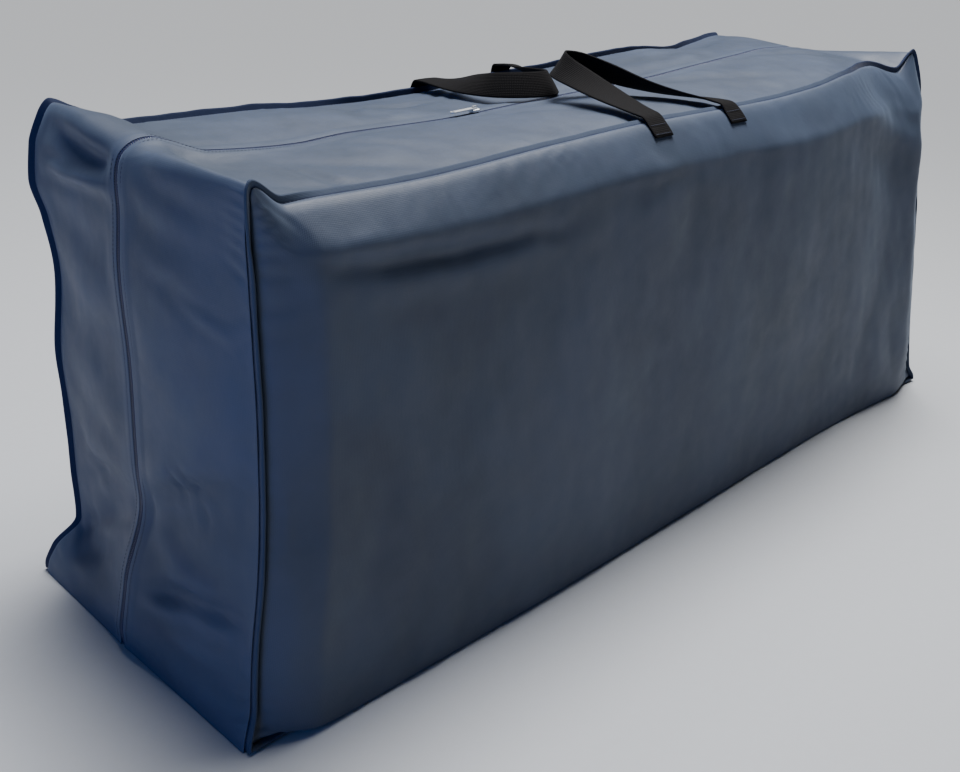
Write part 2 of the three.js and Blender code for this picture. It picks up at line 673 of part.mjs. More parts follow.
/** A closed mesh as a manifold solid, and back. */
function solid(geometry) {
  geometry.deleteAttribute("normal");
  geometry.deleteAttribute("uv");
  const merged = mergeVertices(geometry.index ? geometry.toNonIndexed() : geometry);
  return new wasm.Manifold(
    new wasm.Mesh({
      numProp: 3,
      vertProperties: new Float32Array(merged.attributes.position.array),
      triVerts: new Uint32Array(merged.index.array),
    }),
  );
}

function fromSolid(manifold) {
  const { vertProperties, triVerts } = manifold.getMesh();
  const geometry = new THREE.BufferGeometry();
  geometry.setAttribute("position", new THREE.BufferAttribute(new Float32Array(vertProperties), 3));
  geometry.setIndex(new THREE.BufferAttribute(new Uint32Array(triVerts), 1));
  geometry.computeVertexNormals();
  return geometry;
}

/** Slider: a tapered body with a low bail across it, its nose towards +X. */
function sliderBody() {
  const { length, nose, tail, height, bevel } = SLIDER;
  const plan = new THREE.Shape([
    new THREE.Vector2(-length / 2, -tail / 2),
    new THREE.Vector2(length / 5, -nose / 2),
    new THREE.Vector2(length / 2, -nose / 3),
    new THREE.Vector2(length / 2, nose / 3),
    new THREE.Vector2(length / 5, nose / 2),
    new THREE.Vector2(-length / 2, tail / 2),
  ]);
  const body = new THREE.ExtrudeGeometry(plan, {
    depth: height - 2 * bevel,
    bevelSize: bevel,
    bevelThickness: bevel,
    bevelSegments: 1,
  });
  body.translate(0, 0, bevel);
  const { span, rise, bar, width } = BAIL;
  const arch = new THREE.Shape([
    new THREE.Vector2(-span / 2, -bar),
    new THREE.Vector2(-span / 2, rise - bar),
    new THREE.Vector2(-span / 2 + bar, rise),
    new THREE.Vector2(span / 2 - bar, rise),
    new THREE.Vector2(span / 2, rise - bar),
    new THREE.Vector2(span / 2, -bar),
    new THREE.Vector2(span / 2 - bar, -bar),
    new THREE.Vector2(span / 2 - bar, rise - bar),
    new THREE.Vector2(-span / 2 + bar, rise - bar),
    new THREE.Vector2(-span / 2 + bar, -bar),
  ]);
  const bail = new THREE.ExtrudeGeometry(arch, { depth: width, bevelEnabled: false });
  bail.translate(0, 0, -width / 2);
  bail.rotateX(Math.PI / 2);
  bail.translate(0, 0, height);
  return fromSolid(solid(body).add(solid(bail)));
}

/** Pull: a flat tab, one hole round the bail's post and one at its free end, towards -X. */
function sliderPull() {
  const { length, width, thickness, hole } = PULL;
  const round = width / 2;
  const post = (BAIL.bar - BAIL.span) / 2;
  const free = post - length + 2 * round;
  const plan = new THREE.Shape();
  plan.absarc(post, 0, round, -Math.PI / 2, Math.PI / 2, false);
  plan.absarc(free, 0, round, Math.PI / 2, (3 * Math.PI) / 2, false);
  for (const x of [post, free]) {
    plan.holes.push(new THREE.Path().absarc(x, 0, hole, 0, 2 * Math.PI, true));
  }
  return new THREE.ExtrudeGeometry(plan, {
    depth: thickness,
    bevelEnabled: false,
    curveSegments: 6,
  });
}

/** Places a piece on the zip at a place along the top, a distance above its cloth. */
function ontoZip(mesh, x, above) {
  const at = 1 + (x + LENGTH / 2) / LENGTH;
  const step = 0.01;
  const run = zipPoint(at + step).sub(zipPoint(at - step)).normalize();
  const up = zipNormal(at);
  const side = up.clone().cross(run).normalize();
  mesh.quaternion.setFromRotationMatrix(new THREE.Matrix4().makeBasis(run, side, up));
  mesh.position.copy(zipPoint(at)).addScaledVector(up, above);
  return mesh;
}

function named(name, geometry, material) {
  const mesh = new THREE.Mesh(geometry, material);
  mesh.name = name;
  return mesh;
}

const bag = new THREE.Group();
const onZip = ZIP_THICKNESS / 2 + SLIDER.lift;
const onSlider = onZip + SLIDER.height + CLEARANCE;
const slider = ontoZip(named("zip_slider", sliderBody(), nickel), SLIDER_X, onZip);
const pull = ontoZip(named("zip_pull", sliderPull(), nickel), SLIDER_X, onSlider);
bag.add(
  named("front_panel", sidePanel(frontSeam, -1, FRONT_BULGE), fabric),
  named("rear_panel", sidePanel(rearSeam, 1, REAR_BULGE), fabric),
  named("strip_front", halfStrip(frontSeam, -1), fabric),
  named("strip_rear", halfStrip(rearSeam, 1), fabric),
  named("base_panel", basePanel(), fabric),
  named("zip", zipStrip(), zipCoil),
  named("binding_front", bindingRing(frontSeam), bindingTape),
  named("binding_rear", bindingRing(rearSeam), bindingTape),
  named("handle_front", handle(FRONT_HANDLE, frontSeam, -1, FRONT_BULGE), webbing),
  named("handle_rear", handle(REAR_HANDLE, rearSeam, 1, REAR_BULGE), webbing),
  slider,
  pull,
);

// The origin is the middle of the bag's footprint, on the floor
const box = new THREE.Box3().setFromObject(bag);
const middle = box.getCenter(vector(0, 0, 0));
bag.position.set(-middle.x, -middle.y, -box.min.z);
bag.updateMatrixWorld(true);

export default bag;
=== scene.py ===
"""Zipped storage bag for garden seat cushions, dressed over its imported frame.

The bag stands filled. Two long side panels are sewn to a narrow strip that a zip halves, a
bound flange stands along each seam, and each side panel carries a loop of webbing.
"""

import math

import bpy
import numpy as np
from bpy.props import FloatProperty, FloatVectorProperty, PointerProperty
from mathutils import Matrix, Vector


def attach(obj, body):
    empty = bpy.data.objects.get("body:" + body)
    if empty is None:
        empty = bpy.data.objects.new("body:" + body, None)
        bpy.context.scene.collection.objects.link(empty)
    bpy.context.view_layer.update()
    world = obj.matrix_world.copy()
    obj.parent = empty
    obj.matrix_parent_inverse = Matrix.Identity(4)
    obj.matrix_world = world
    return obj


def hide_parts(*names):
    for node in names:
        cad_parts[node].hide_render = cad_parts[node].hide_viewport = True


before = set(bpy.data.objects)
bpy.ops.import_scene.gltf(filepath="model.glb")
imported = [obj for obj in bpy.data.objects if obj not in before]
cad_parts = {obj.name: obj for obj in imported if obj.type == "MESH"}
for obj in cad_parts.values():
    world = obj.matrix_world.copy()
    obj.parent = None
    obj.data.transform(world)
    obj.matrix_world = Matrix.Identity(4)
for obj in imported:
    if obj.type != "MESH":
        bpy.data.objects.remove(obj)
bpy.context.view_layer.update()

bl_info = {
    "name": "Cushion storage bag",
    "version": (1, 0, 0),
    "blender": (4, 5, 0),
    "location": "View3D > Sidebar > Bag",
    "description": "Builds the cloth, tapes, zip, handles and stage of a cushion storage bag",
    "category": "Object",
}

MM = 0.001
LENGTH, DEPTH, HEIGHT = 1260.0, 370.0, 500.0  # plain box between the seams, mm
BAG_TO_ROW = np.array([-9.819, -0.408, 0.0])  # the bag's own origin in the row's frame, mm
FRONT, REAR = -1, 1
SIDES = ((FRONT, "front"), (REAR, "rear"))
# Sizes below are in mm, too
SOLE = 4.3  # height of the base's seams over the floor
FLANGE_WIDTH, FLANGE_THICKNESS = 10.0, 3.0
SEWN_APART, SEWN_OVER = 2.3, 2.0  # cloth off a flange's middle, and how far up it
CLEARANCE = 0.4
SEAM_CORNER, ZIP_CORNER = 8.0, 45.0
EDGE_ROUNDING, FOOT_ROUNDING = 36.0, 90.0
TOP_SHOULDER, END_SHOULDER, SHOULDER_TURN = 36.0, 48.0, 0.05
BULGE = {FRONT: 34.0, REAR: 30.0}
PUCKER_REACH, SCUFF_REACH = 9.0, 14.0  # off a seam: highest puckers, scuffing
PROUD = 2.5  # relief this high is scuffed most
FLOOR_FADE = (3.0, 22.0)  # fine relief fades out between these heights
HEM_START, HEM_END, HEM_RISE = 10.5, 12.0, 0.6  # folded hem beside the zip
CREASE_END = 4.0  # relief ends this far off the zip
BASE_INSET, BASE_RISE = 2.8, 0.6  # base cloth: inside the strip's ends, over the floor
BINDING_EDGE, WEBBING_EDGE = 1.4, 0.9  # how far their edges are rounded
ZIP_WIDTH = 6.0
ZIP_TAPE = (9.5, 0.35, 0.3)  # half width, half thickness, rounding of its edges
ZIP_TAPE_DEPTH, ZIP_TAPE_FLOOR = 1.5, 0.8  # under the zip's middle, over the floor
ZIP_TAPE_GIRTH = 40.0
TOOTH = (4.4, 1.5)  # length and thickness
TOOTH_SHARE, TOOTH_HEAD, TOOTH_EDGE = 0.42, (1, 1.3, 1.35), 0.22  # of the pitch, swell, bevel
TOOTH_SHIFT, TOOTH_FLOOR = 0.75, 1.2  # off the zip's middle, over the floor
WEBBING_WIDTH, WEBBING_THICKNESS = 32.0, 2.4
FOOT_DROP, FOOT_LIFT = 13.0, 2.2  # a handle's foot: down the panel, off it
FOOT_SHARES = np.linspace(0.1, 1, 7)  # where a foot's rings lie down it
FOOT_HEIGHT, FOOT_FADE = 495.0, (22.0, 48.0)  # relief fades out round a handle's foot
FLANGE_ROW, FLANGE_ROW_LIFT = 2.6, 0.1  # stitches up the flange, and over its tape
ZIP_ROW, ZIP_ROW_LIFT, ZIP_ROW_START = 9.0, 1.2, 8.0  # stitches beside the zip
# Stitches across a handle's foot: rows down it, places across it, height over it
FOOT_ROWS, FOOT_STITCHES, FOOT_STITCH_LIFT = (0.35, 0.85), np.arange(-13, 13.1, 3.4), 1.5
BASE_CELLS = (90, 25)  # along and across
# Cells up an end or a panel, and along the top
PANEL_CELLS, STRIP_CELLS, SEAM_CELLS = (104, 236), (100, 236), (110, 250)
STRIP_ACROSS = (36, 0.8)  # cells, and how strongly they crowd towards its edges
STRIP_END = 0.02  # share of an end's height over which it meets the floor
WAVE_UNIT = math.pi / 10  # a Wave texture's scale for one band per metre
THREAD = "bonded_polyester_thread"

CAMERA_PLACE = (-1.14312, -0.91181, 0.7132)
CAMERA_TURN = (74.18167, -2.24138, -45.73386)  # degrees
CAMERA_LENS, CAMERA_SHIFT_Y = 44.133, -0.15
FLOOR_SIZE, FLOOR_GAP = 60, 0.0003  # the gap keeps the base cloth off the paper
WARM, SKY_BLUE = (1.0, 0.985, 0.96), (0.04, 0.26, 1.0)
WORLD_COLOUR, WORLD_STRENGTH = (0.93, 0.95, 1, 1), 0.06
# Lights: name, kind, place, aim, softness (angle or metres), strength, colour
SOFT_LIGHTS = (
    ("room", "SUN", (0.2, 0.12, 1.0), (0, 0, 0), math.radians(26), 5.0, WARM),
    ("overhead", "AREA", (0.25, 0.05, 1.9), (0.1, 0.1, 0.5), 1.2, 43, WARM),
    ("near_side", "AREA", (-3.0, -0.6, 0.45), (-0.6, -0.05, 0.15), 1.6, 34, SKY_BLUE),
)

# How far each line lies off the plain box: place, dx, dy, dz. The place runs 0 to 1 up the
# near end, 1 to 2 along the top, 2 to 3 down the far end and 3 to 4 back along the base.
SEAM = {
    FRONT: (
        (0.0, -7, 4, SOLE), (0.06, 4, 9, 6), (0.18, 6, 8, 0), (0.33, 12, 6, 0), (0.46, 15, 7, 0),
        (0.6, 14, 7, 0), (0.75, 11, 8, 0), (0.9, 5, 5, 0), (1.0, 0, -2, 4), (1.03, -2, 2, -17),
        (1.12, 0, 1, -18), (1.3, 0, 4, -8), (1.4, 0, 6, -3), (1.6, 0, 8, 0), (1.7, -5, 11, 6),
        (1.8, -22, 22, 15), (1.9, -46, 44, 17), (1.96, -54, 36, 5), (2.0, -58, 34, 32),
        (2.06, -52, 24, 12), (2.2, -45, 18, 0), (2.5, -26, 12, 0), (2.82, -4, 8, 0),
        (2.94, 8, 6, 2), (3.0, 28, 4, SOLE), (3.06, 2, 14, SOLE), (3.2, 0, 20, SOLE),
        (3.5, 0, 12, SOLE), (3.75, 0, 5, SOLE), (3.94, -3, 5, SOLE), (4.0, -7, 4, SOLE),
    ),
    REAR: (
        (0.0, 4, 12, SOLE), (0.05, 11, 3, 8), (0.13, 34, -12, 2), (0.25, 30, -14, 0),
        (0.36, 28, -14, 0), (0.52, 22, -13, 0), (0.68, 27, -12, 0), (0.8, 20, -7, 2),
        (0.88, 11, -3, 2), (0.95, 13, -4, 2), (1.0, 24, -8, 13), (1.03, 14, -9, 1),
        (1.07, 6, -10, -17), (1.2, 0, -5, -17), (1.28, 0, -5, -21), (1.4, 0, -6, -17),
        (1.5, 0, -6, -9), (1.6, 0, -5, -2), (1.7, 0, -3, 7), (1.77, -8, 0, 10), (1.86, -22, 0, 5),
        (1.92, -34, 0, 13), (2.0, -52, 2, 22), (2.08, -48, 0, 10), (2.3, -34, -8, 0),
        (2.6, -16, -12, 0), (2.86, 0, -8, 2), (3.0, 12, 8, SOLE), (3.1, 2, -8, SOLE),
        (3.9, -2, -8, SOLE), (4.0, 4, 12, SOLE),
    ),
}
ZIP_LINE = (
    (0.0, -6, 25, 1.4), (0.06, -13, 14, 2), (0.16, -10, 7, 2), (0.31, 8, 4, 2), (0.4, 3, 0, 0),
    (0.6, 0, -1, 0), (0.8, -5, 2, 0), (0.9, -3, 2, 0), (1.0, -8, 6, 11), (1.03, -7, 5, 8),
    (1.07, 0, 0, -10), (1.15, -2, 0, -15), (1.2, 0, -1, -11), (1.3, 0, -2, -10), (1.4, 0, -1, -4),
    (1.6, 0, 1, 8), (1.7, -1, 8, 16), (1.8, -20, 16, 22), (1.9, -42, 26, 26), (2.0, -56, 26, 22),
    (2.1, -52, 20, 8), (2.3, -34, 12, 0), (2.6, -17, 6, 0), (3.0, 6, 0, 1.4),
)

# Lean of each flange: 0 stands straight off the strip, 90 straight off the side panel
LEAN = {
    FRONT: (
        (0.0, 86), (0.1, 74), (0.85, 70), (0.98, 34), (1.02, 8), (1.07, -48), (1.6, -56),
        (1.78, -46), (1.9, -14), (1.97, 14), (2.06, 40), (2.9, 62), (3.0, 86), (4.0, 86),
    ),
    REAR: (
        (0.0, 80), (0.12, 52), (0.9, 44), (1.0, 38), (1.1, 26), (1.28, 18), (1.34, -8),
        (1.8, -4), (2.0, 36), (2.9, 56), (3.0, 86), (4.0, 80),
    ),
}
# Crown of the strip between a seam and the zip: place, front half, rear half
STRIP_CROWN = (
    (0.0, 0, 0), (0.1, 3, -6), (0.2, 2, -4), (0.4, 7, 5), (0.75, 6, 5), (0.88, 6, -2),
    (0.94, 5, 4), (1.0, 5, 9), (1.06, -4, 6), (1.15, 2, 6), (1.4, 7, 5), (1.8, 5, 6),
    (2.0, 6, 6), (2.5, 10, 10), (3.0, 0, 0),
)
# Foot of a side panel: height up the flat cloth, how far it stands out, height over the floor
HEM = (
    (0.0, 0, SOLE + 3), (9.8, 15, 9), (24.8, 21.5, 1.6), (49.0, 26, 28),
    (85.0, 29, 76), (130.0, 31, 130), (200.0, 34, 204),
)

# Soft folds in the solids too: one end, other end, half width, depth (a ridge is negative)
FOLDS = (
    ((-612, 160, 486), (-634, 10, 486), 15, 9),  # valley under the rear top corner
    ((-612, 165, 462), (-634, 15, 466), 12, -5),  # ridge below it
    ((-608, 150, 74), (-628, -10, 160), 20, 9),  # kink above the flared foot
    ((-628, -10, 160), (-620, -170, 215), 22, 6),  # kink towards the front seam
    ((-628, 30, 130), (-636, 170, 30), 16, -7),  # ridge to the lower rear corner
    ((-632, -15, 82), (-628, -170, 112), 16, 6),  # level valley by the front seam
    ((-572, 60, 494), (-590, -150, 490), 24, 7),  # dip behind the near top edge
    ((-500, -50, 492), (-400, -160, 490), 14, 4),  # long crease in the top
    ((-560, -120, 490), (-470, -165, 488), 12, 3),  # crease beside it
    ((-290, 92, 492), (-150, 96, 496), 14, 3),  # crease along the rear of the top
    ((-600, -212, 428), (-280, -214, 414), 16, 4),  # crease below the front edge
    ((430, -190, 500), (560, -196, 440), 34, 8),  # hollow under the far front corner
)

# Centre line of each handle: x, y, z, and the webbing's twist in degrees
HANDLE_LINE = {
    FRONT: (
        (-105, -180, 507, 2), (-106, -160, 511, 4), (-102, -112, 522, 20),
        (-93, -60, 534, 38), (-86, -30, 541, 52), (-70, -14, 544, 60), (-47, -24, 542, 62),
        (-28, -56, 533, 54), (-6, -98, 521, 30), (17, -132, 514, 14), (38, -159, 510, 4),
        (42, -180, 508.5, 2),
    ),
    REAR: (
        (-106, 183, 502, 2), (-110, 158, 503, 4), (-122, 116, 506, 18), (-133, 66, 512, 44),
        (-130, 24, 516, 60), (-106, 3, 517, 62), (-76, -2, 517, 62), (-54, 8, 517, 58),
        (-38, 38, 516, 48), (-16, 84, 515, 30), (14, 130, 514, 18), (36, 164, 512, 4),
        (42, 184, 511, 2),
    ),
}

# Finer creases than the solids have, pressed along the outward normal: half width, depth,
# points. They follow the pulls and storage folds of a bag that has been filled and handled.
NEAR_END_CREASES = (
    (12, 2.2, (-630, -8, 505), (-634, -60, 478), (-628, -150, 470)),
    (16, 1.6, (-632, -4, 452), (-630, -70, 440), (-624, -150, 446)),
    (5, -1.6, (-628, -80, 396), (-626, -128, 378), (-622, -168, 372)),
    (9, 1.2, (-630, -40, 404), (-628, -90, 392), (-626, -120, 380)),
    (22, 2.6, (-628, 168, 420), (-634, 100, 400), (-632, 12, 396)),
    (26, -2.2, (-606, 166, 372), (-630, 90, 350), (-632, 8, 352)),
    (20, 1.8, (-604, 160, 250), (-628, 84, 214), (-630, 10, 208)),
    (9, 2.6, (-604, 150, 176), (-626, 88, 150), (-630, 12, 172)),
    (7, -2.4, (-610, 130, 96), (-632, 70, 120), (-634, 14, 150)),
    (4, 2.0, (-628, -60, 236), (-626, -103, 218), (-624, -137, 212)),
    (6, 1.8, (-626, -100, 216), (-628, -112, 176)),
    (14, -3.0, (-632, -20, 150), (-640, -80, 120), (-634, -150, 90)),
    (12, 2.6, (-636, -10, 60), (-640, -80, 40), (-640, -150, 44)),
    (8, 1.8, (-636, 30, 100), (-648, 100, 60), (-640, 170, 34)),
    (9, 4.5, (-620, 12, 484), (-634, 80, 490), (-622, 160, 500)),
    (7, -4.0, (-628, 14, 464), (-640, 80, 462), (-632, 164, 458)),
    (8, 3.5, (-636, -12, 86), (-640, -80, 104), (-634, -168, 118)),
    (8, -2.6, (-640, -14, 70), (-642, -80, 84), (-636, -168, 98)),
    (9, 3.0, (-640, 20, 170), (-634, -90, 214), (-628, -165, 248)),
    (7, -3.5, (-640, 16, 132), (-644, 90, 92), (-640, 166, 46)),
    (12, 3.6, (-632, 20, 190), (-628, 90, 160), (-622, 150, 128)),
    (4, 2.0, (-626, -56, 228), (-626, -84, 206), (-626, -86, 170)),
)
TOP_CREASES = (
    (7, 2.2, (-502, -55, 492), (-505, -133, 490), (-480, -172, 488)),
    (6, 1.8, (-557, -150, 488), (-536, -176, 486)),
    (8, 2.0, (-569, 40, 494), (-586, -9, 492), (-597, -128, 490)),
    (9, 1.5, (-420, -20, 494), (-380, -90, 494), (-392, -160, 490)),
    (10, 1.4, (-340, 20, 492), (-300, 90, 490), (-330, 160, 486)),
    (6, 2.0, (-278, 92, 492), (-143, 93, 496)),
    (9, 1.5, (-180, 110, 490), (-60, 150, 488)),
    (12, 1.6, (-200, -30, 498), (-120, -80, 498), (-128, -160, 494)),
    (16, 1.8, (60, -20, 502), (180, -60, 504), (300, -140, 502)),
    (18, -2.0, (120, 60, 504), (260, 40, 508), (420, 80, 512)),
    (15, 2.4, (320, 20, 510), (420, -30, 512), (520, -110, 510)),
    (14, 1.8, (200, 150, 500), (380, 120, 510), (520, 150, 512)),
)
FRONT_CREASES = (
    (9, 2.4, (-618, -196, 470), (-560, -214, 432), (-420, -214, 420), (-250, -214, 420)),
    (12, -1.6, (-560, -214, 408), (-420, -214, 398), (-300, -214, 402)),
    (14, 1.8, (-250, -214, 430), (-40, -214, 452), (140, -214, 440)),
    (20, 1.6, (-100, -214, 470), (-60, -214, 410), (-70, -214, 330)),
    (22, 1.8, (60, -214, 470), (80, -214, 400), (60, -214, 320)),
    (26, 2.6, (250, -214, 460), (420, -214, 400), (560, -214, 300)),
    (18, -2.2, (360, -214, 470), (480, -214, 430), (590, -214, 380)),
    (22, 2.0, (-590, -210, 60), (-520, -214, 120), (-500, -214, 240)),
    (20, 1.4, (-420, -214, 16), (-380, -214, 90), (-390, -214, 180)),
    (24, 1.6, (100, -214, 20), (150, -214, 110), (130, -214, 210)),
    (22, 1.8, (460, -214, 20), (430, -214, 120), (460, -214, 230)),
    (16, 1.8, (590, -205, 40), (520, -214, 90), (500, -214, 160)),
)
FAR_END_CREASES = (
    (20, 3.0, (600, -150, 480), (606, -40, 440), (600, 120, 470)),
    (18, 2.2, (604, -160, 360), (616, -60, 330), (612, 60, 352)),
    (20, -2.2, (612, 150, 300), (622, 60, 270), (620, -40, 286)),
    (16, 2.2, (626, -150, 190), (636, -40, 160), (632, 90, 200)),
    (14, 2.6, (634, -150, 80), (644, -20, 60), (640, 140, 84)),
)
REAR_CREASES = tuple(
    (wide, deep, *((-x, -y, z) for x, y, z in points)) for wide, deep, *points in FRONT_CREASES
)
# The axis across each face comes first, and distance along it counts by this share
ACROSS_FACE = 0.15
STRIP_CREASES = ((0, NEAR_END_CREASES), (2, TOP_CREASES), (0, FAR_END_CREASES))
PANEL_CREASES = {FRONT: ((1, FRONT_CREASES),), REAR: ((1, REAR_CREASES),)}


# Shape of the seams, the cloth and the zip


def cubic(u, start, end, leaving, arriving):
    """A cubic over a step from 0 to 1, from its values and slopes at both ends."""
    ends = (2 * u**3 - 3 * u**2 + 1) * start + (3 * u**2 - 2 * u**3) * end
    return ends + (u**3 - 2 * u**2 + u) * leaving + (u**3 - u**2) * arriving


def read(table, column, place):
    """Smooth values of a table's column at places, with no overshoot between its rows."""
    rows = np.array(table, dtype=float)
    keys, values = rows[:, 0], rows[:, column]
    rise = np.diff(values) / np.diff(keys)
    slope = np.zeros(len(keys))
    before, after = rise[:-1], rise[1:]
    same = before * after > 0
    slope[1:-1][same] = 2 * before[same] * after[same] / (before[same] + after[same])
    place = np.clip(np.asarray(place, dtype=float), keys[0], keys[-1])
    k = np.clip(np.searchsorted(keys, place, side="left") - 1, 0, len(keys) - 2)
    step = keys[k + 1] - keys[k]
    u = (place - keys[k]) / step
    return cubic(u, values[k], values[k + 1], slope[k] * step, slope[k + 1] * step)


def smoothstep(value, low, high):
    share = np.clip((value - low) / (high - low), 0, 1)
    return share * share * (3 - 2 * share)


def rounded(distance, radius):
    """A quarter ellipse's rise: 0 at the seam, 1 once past the rounding."""
    left = 1 - np.clip(distance / radius, 0, 1)
    return np.sqrt(1 - left * left)


def shoulder(distance, run):
    """How far out a panel stands by its seam: a slope for the run, then a turn to flat."""
    slope = distance / run
    turned = slope - SHOULDER_TURN * np.logaddexp(0, (slope - 1) / SHOULDER_TURN)
    return 0.15 * rounded(distance, EDGE_ROUNDING) + 0.85 * np.clip(turned, 0, 1)


def unit(vectors):
    return vectors / np.maximum(np.linalg.norm(vectors, axis=-1, keepdims=True), 1e-9)


def stations(cells, crowding=0.6):
    """Shares of an edge at which the cells meet, crowded towards both ends."""
    u = np.linspace(0, 1, cells + 1)
    return u - crowding * np.sin(2 * np.pi * u) / (2 * np.pi)


def strip_places(ends, top):
    """Places up the near end, along the top and down the far end."""
    up, on = stations(ends), stations(top)
    return np.concatenate([up, 1 + on[1:], 2 + up[1:]])


def along(line, place, y, corner):
    """Points of a seam or of the zip, round the box outline with its top corners rounded."""
    at = np.asarray(place, dtype=float)
    half = LENGTH / 2
    parts = [at > 3, at <= 1, at <= 2]
    x = np.select(parts, [half - LENGTH * (at - 3), -half, LENGTH * (at - 1) - half], half)
    z = np.select(parts, [0, HEIGHT * at, HEIGHT], HEIGHT * (3 - at))
    side = np.where(x < 0, 1, -1)
    inward, down = half - np.abs(x), HEIGHT - z
    turned = (at <= 3) & (inward < corner) & (down < corner)
    turn = (np.pi / 2) * (0.5 + (inward - down) / (2 * corner))
    x = np.where(turned, side * (corner - corner * np.cos(turn) - half), x)
    z = np.where(turned, HEIGHT - corner + corner * np.sin(turn), z)
    off = [read(line, column, at) for column in (1, 2, 3)]
    return np.stack([x + off[0], y + off[1], z + off[2]], axis=-1)


def strip_normal(place):
    """Outward direction off the outline: -X up the near end, then +Z, +X, and -Z below."""
    at = np.asarray(place, dtype=float)
    top = smoothstep(at, 0.94, 1.04) + smoothstep(at, 1.96, 2.06)
    base = sum(smoothstep(at, low, low + 0.04) for low in (-0.02, 2.98, 3.98))
    angle = (np.pi / 2) * (top + base - 1)
    return np.stack([-np.cos(angle), 0 * angle, np.sin(angle)], axis=-1)


def seam(side, place):
    """A seam's root, its flange's direction, and the direction its side panel lies in."""
    at = np.asarray(place, dtype=float)
    lean = np.radians(read(LEAN[side], 1, at))[..., None]
    off = strip_normal(at)
    out = np.array([0.0, side, 0.0])
    mitre = np.where(np.isin(at, (0, 3, 4)), math.sqrt(2), 1)[..., None]
    root = along(SEAM[side], at, side * DEPTH / 2, SEAM_CORNER)
    flange = off * np.cos(lean) + out * np.sin(lean)
    panel = (out * np.cos(lean) - off * np.sin(lean)) * mitre
    return root, flange, panel


def panel_edge(side, place):
    root, flange, panel = seam(side, place)
    return root + panel * SEWN_APART + flange * SEWN_OVER


def strip_edge(side, place):
    root, flange, panel = seam(side, place)
    return root - panel * SEWN_APART + flange * SEWN_OVER


def to_line(points, line):
    """Distance of points to a line through given corners, and the share along it."""
    best = np.full(points.shape[:-1], 1e9)
    share = np.zeros(points.shape[:-1])
    corners = np.array(line, dtype=float)
    runs = np.diff(corners, axis=0)
    lengths = np.linalg.norm(runs, axis=1)
    passed = np.concatenate([[0], np.cumsum(lengths)])
    for k, run in enumerate(runs):
        part = np.clip((points - corners[k]) @ run / (run @ run), 0, 1)
        gap = np.linalg.norm(points - corners[k] - part[..., None] * run, axis=-1)
        nearer = gap < best
        best = np.where(nearer, gap, best)
        share = np.where(nearer, (passed[k] + part * lengths[k]) / passed[-1], share)
    return best, share


def fold(points, outward, from_edge):
    """Presses the solids' own soft folds into the cloth."""
    free = np.minimum(from_edge / EDGE_ROUNDING, 1)
    for start, end, wide, deep in FOLDS:
        distance, share = to_line(points, (start, end))
        taper = np.sin(np.pi * np.clip(share, 0.12, 0.88))
        press = deep * taper * np.exp(-((distance / wide) ** 2)) * (distance < 3 * wide)
        points = points - outward * (press * free)[..., None]
    return points


def panel_points(side, across, up):
    """A side panel's points: the patch between its seams, filled out and hung to the floor."""
    across, up = np.broadcast_arrays(np.asarray(across, float), np.asarray(up, float))
    share, rise = across[..., None], up[..., None]
    base = panel_edge(side, 4 - across)
    sides = panel_edge(side, up) * (1 - share) + panel_edge(side, 3 - up) * share
    ends = base * (1 - rise) + panel_edge(side, 1 + across) * rise
    low, low_far, high, high_far = (panel_edge(side, at) for at in (0, 3, 1, 2))
    corners = (low * (1 - share) + low_far * share) * (1 - rise)
    corners = corners + (high * (1 - share) + high_far * share) * rise
    points = sides + ends - corners
    height = up * HEIGHT
    from_side = np.minimum(across, 1 - across) * LENGTH
    sideways = rounded(from_side, EDGE_ROUNDING)
    lower = 1 - smoothstep(height, HEM[3][0], HEM[-1][0])
    points[..., 1] += (base[..., 1] - points[..., 1]) * lower * sideways
    out = read(HEM, 1, height) * BULGE[side] / BULGE[FRONT]
    full = shoulder(from_side, END_SHOULDER) * shoulder(HEIGHT - height, TOP_SHOULDER)
    points[..., 1] += side * out * full
    drop = (read(HEM, 2, height) - points[..., 2]) * rounded(from_side, FOOT_ROUNDING)
    hung = (height > 0) * (1 - smoothstep(height, HEM[-2][0], HEM[-1][0]))
    points[..., 2] += drop * hung
    from_edge = np.minimum(np.minimum(from_side, height), HEIGHT - height)
    return fold(points, np.array([0.0, side, 0.0]), from_edge)


def zip_points(place):
    return along(ZIP_LINE, place, 0, ZIP_CORNER)


def across_strip(place):
    return unit(seam(REAR, place)[0] - seam(FRONT, place)[0])


def zip_normal(place):
    step = 0.004
    ahead = zip_points(np.minimum(place + step, 3))
    run = ahead - zip_points(np.maximum(place - step, 0))
    return -unit(np.cross(across_strip(place), run))


def strip_points(side, place, share):
    """Half of the strip: a share of 0 is at the seam and 1 beside the zip."""
    at = place[:, None] + 0 * share
    part = share[:, None]
    beside = ZIP_WIDTH / 2 + CLEARANCE
    sewn = strip_edge(side, place)[:, None]
    zipped = (zip_points(place) + across_strip(place) * side * beside)[:, None]
    column = 1 if side == FRONT else 2
    crown = 4 * share * (1 - share) * read(STRIP_CROWN, column, at)
    outward = strip_normal(at)
    points = sewn * (1 - part) + zipped * part + outward * crown[..., None]
    from_edge = np.minimum(share, 1 - share) * DEPTH + 0 * at
    return fold(points, outward, from_edge)


def surface_normals(points, turned):
    """Unit normals of a grid of points, from its neighbours in both directions."""
    rows, columns = np.gradient(points, axis=0), np.gradient(points, axis=1)
    return unit(np.cross(rows, columns)) * turned


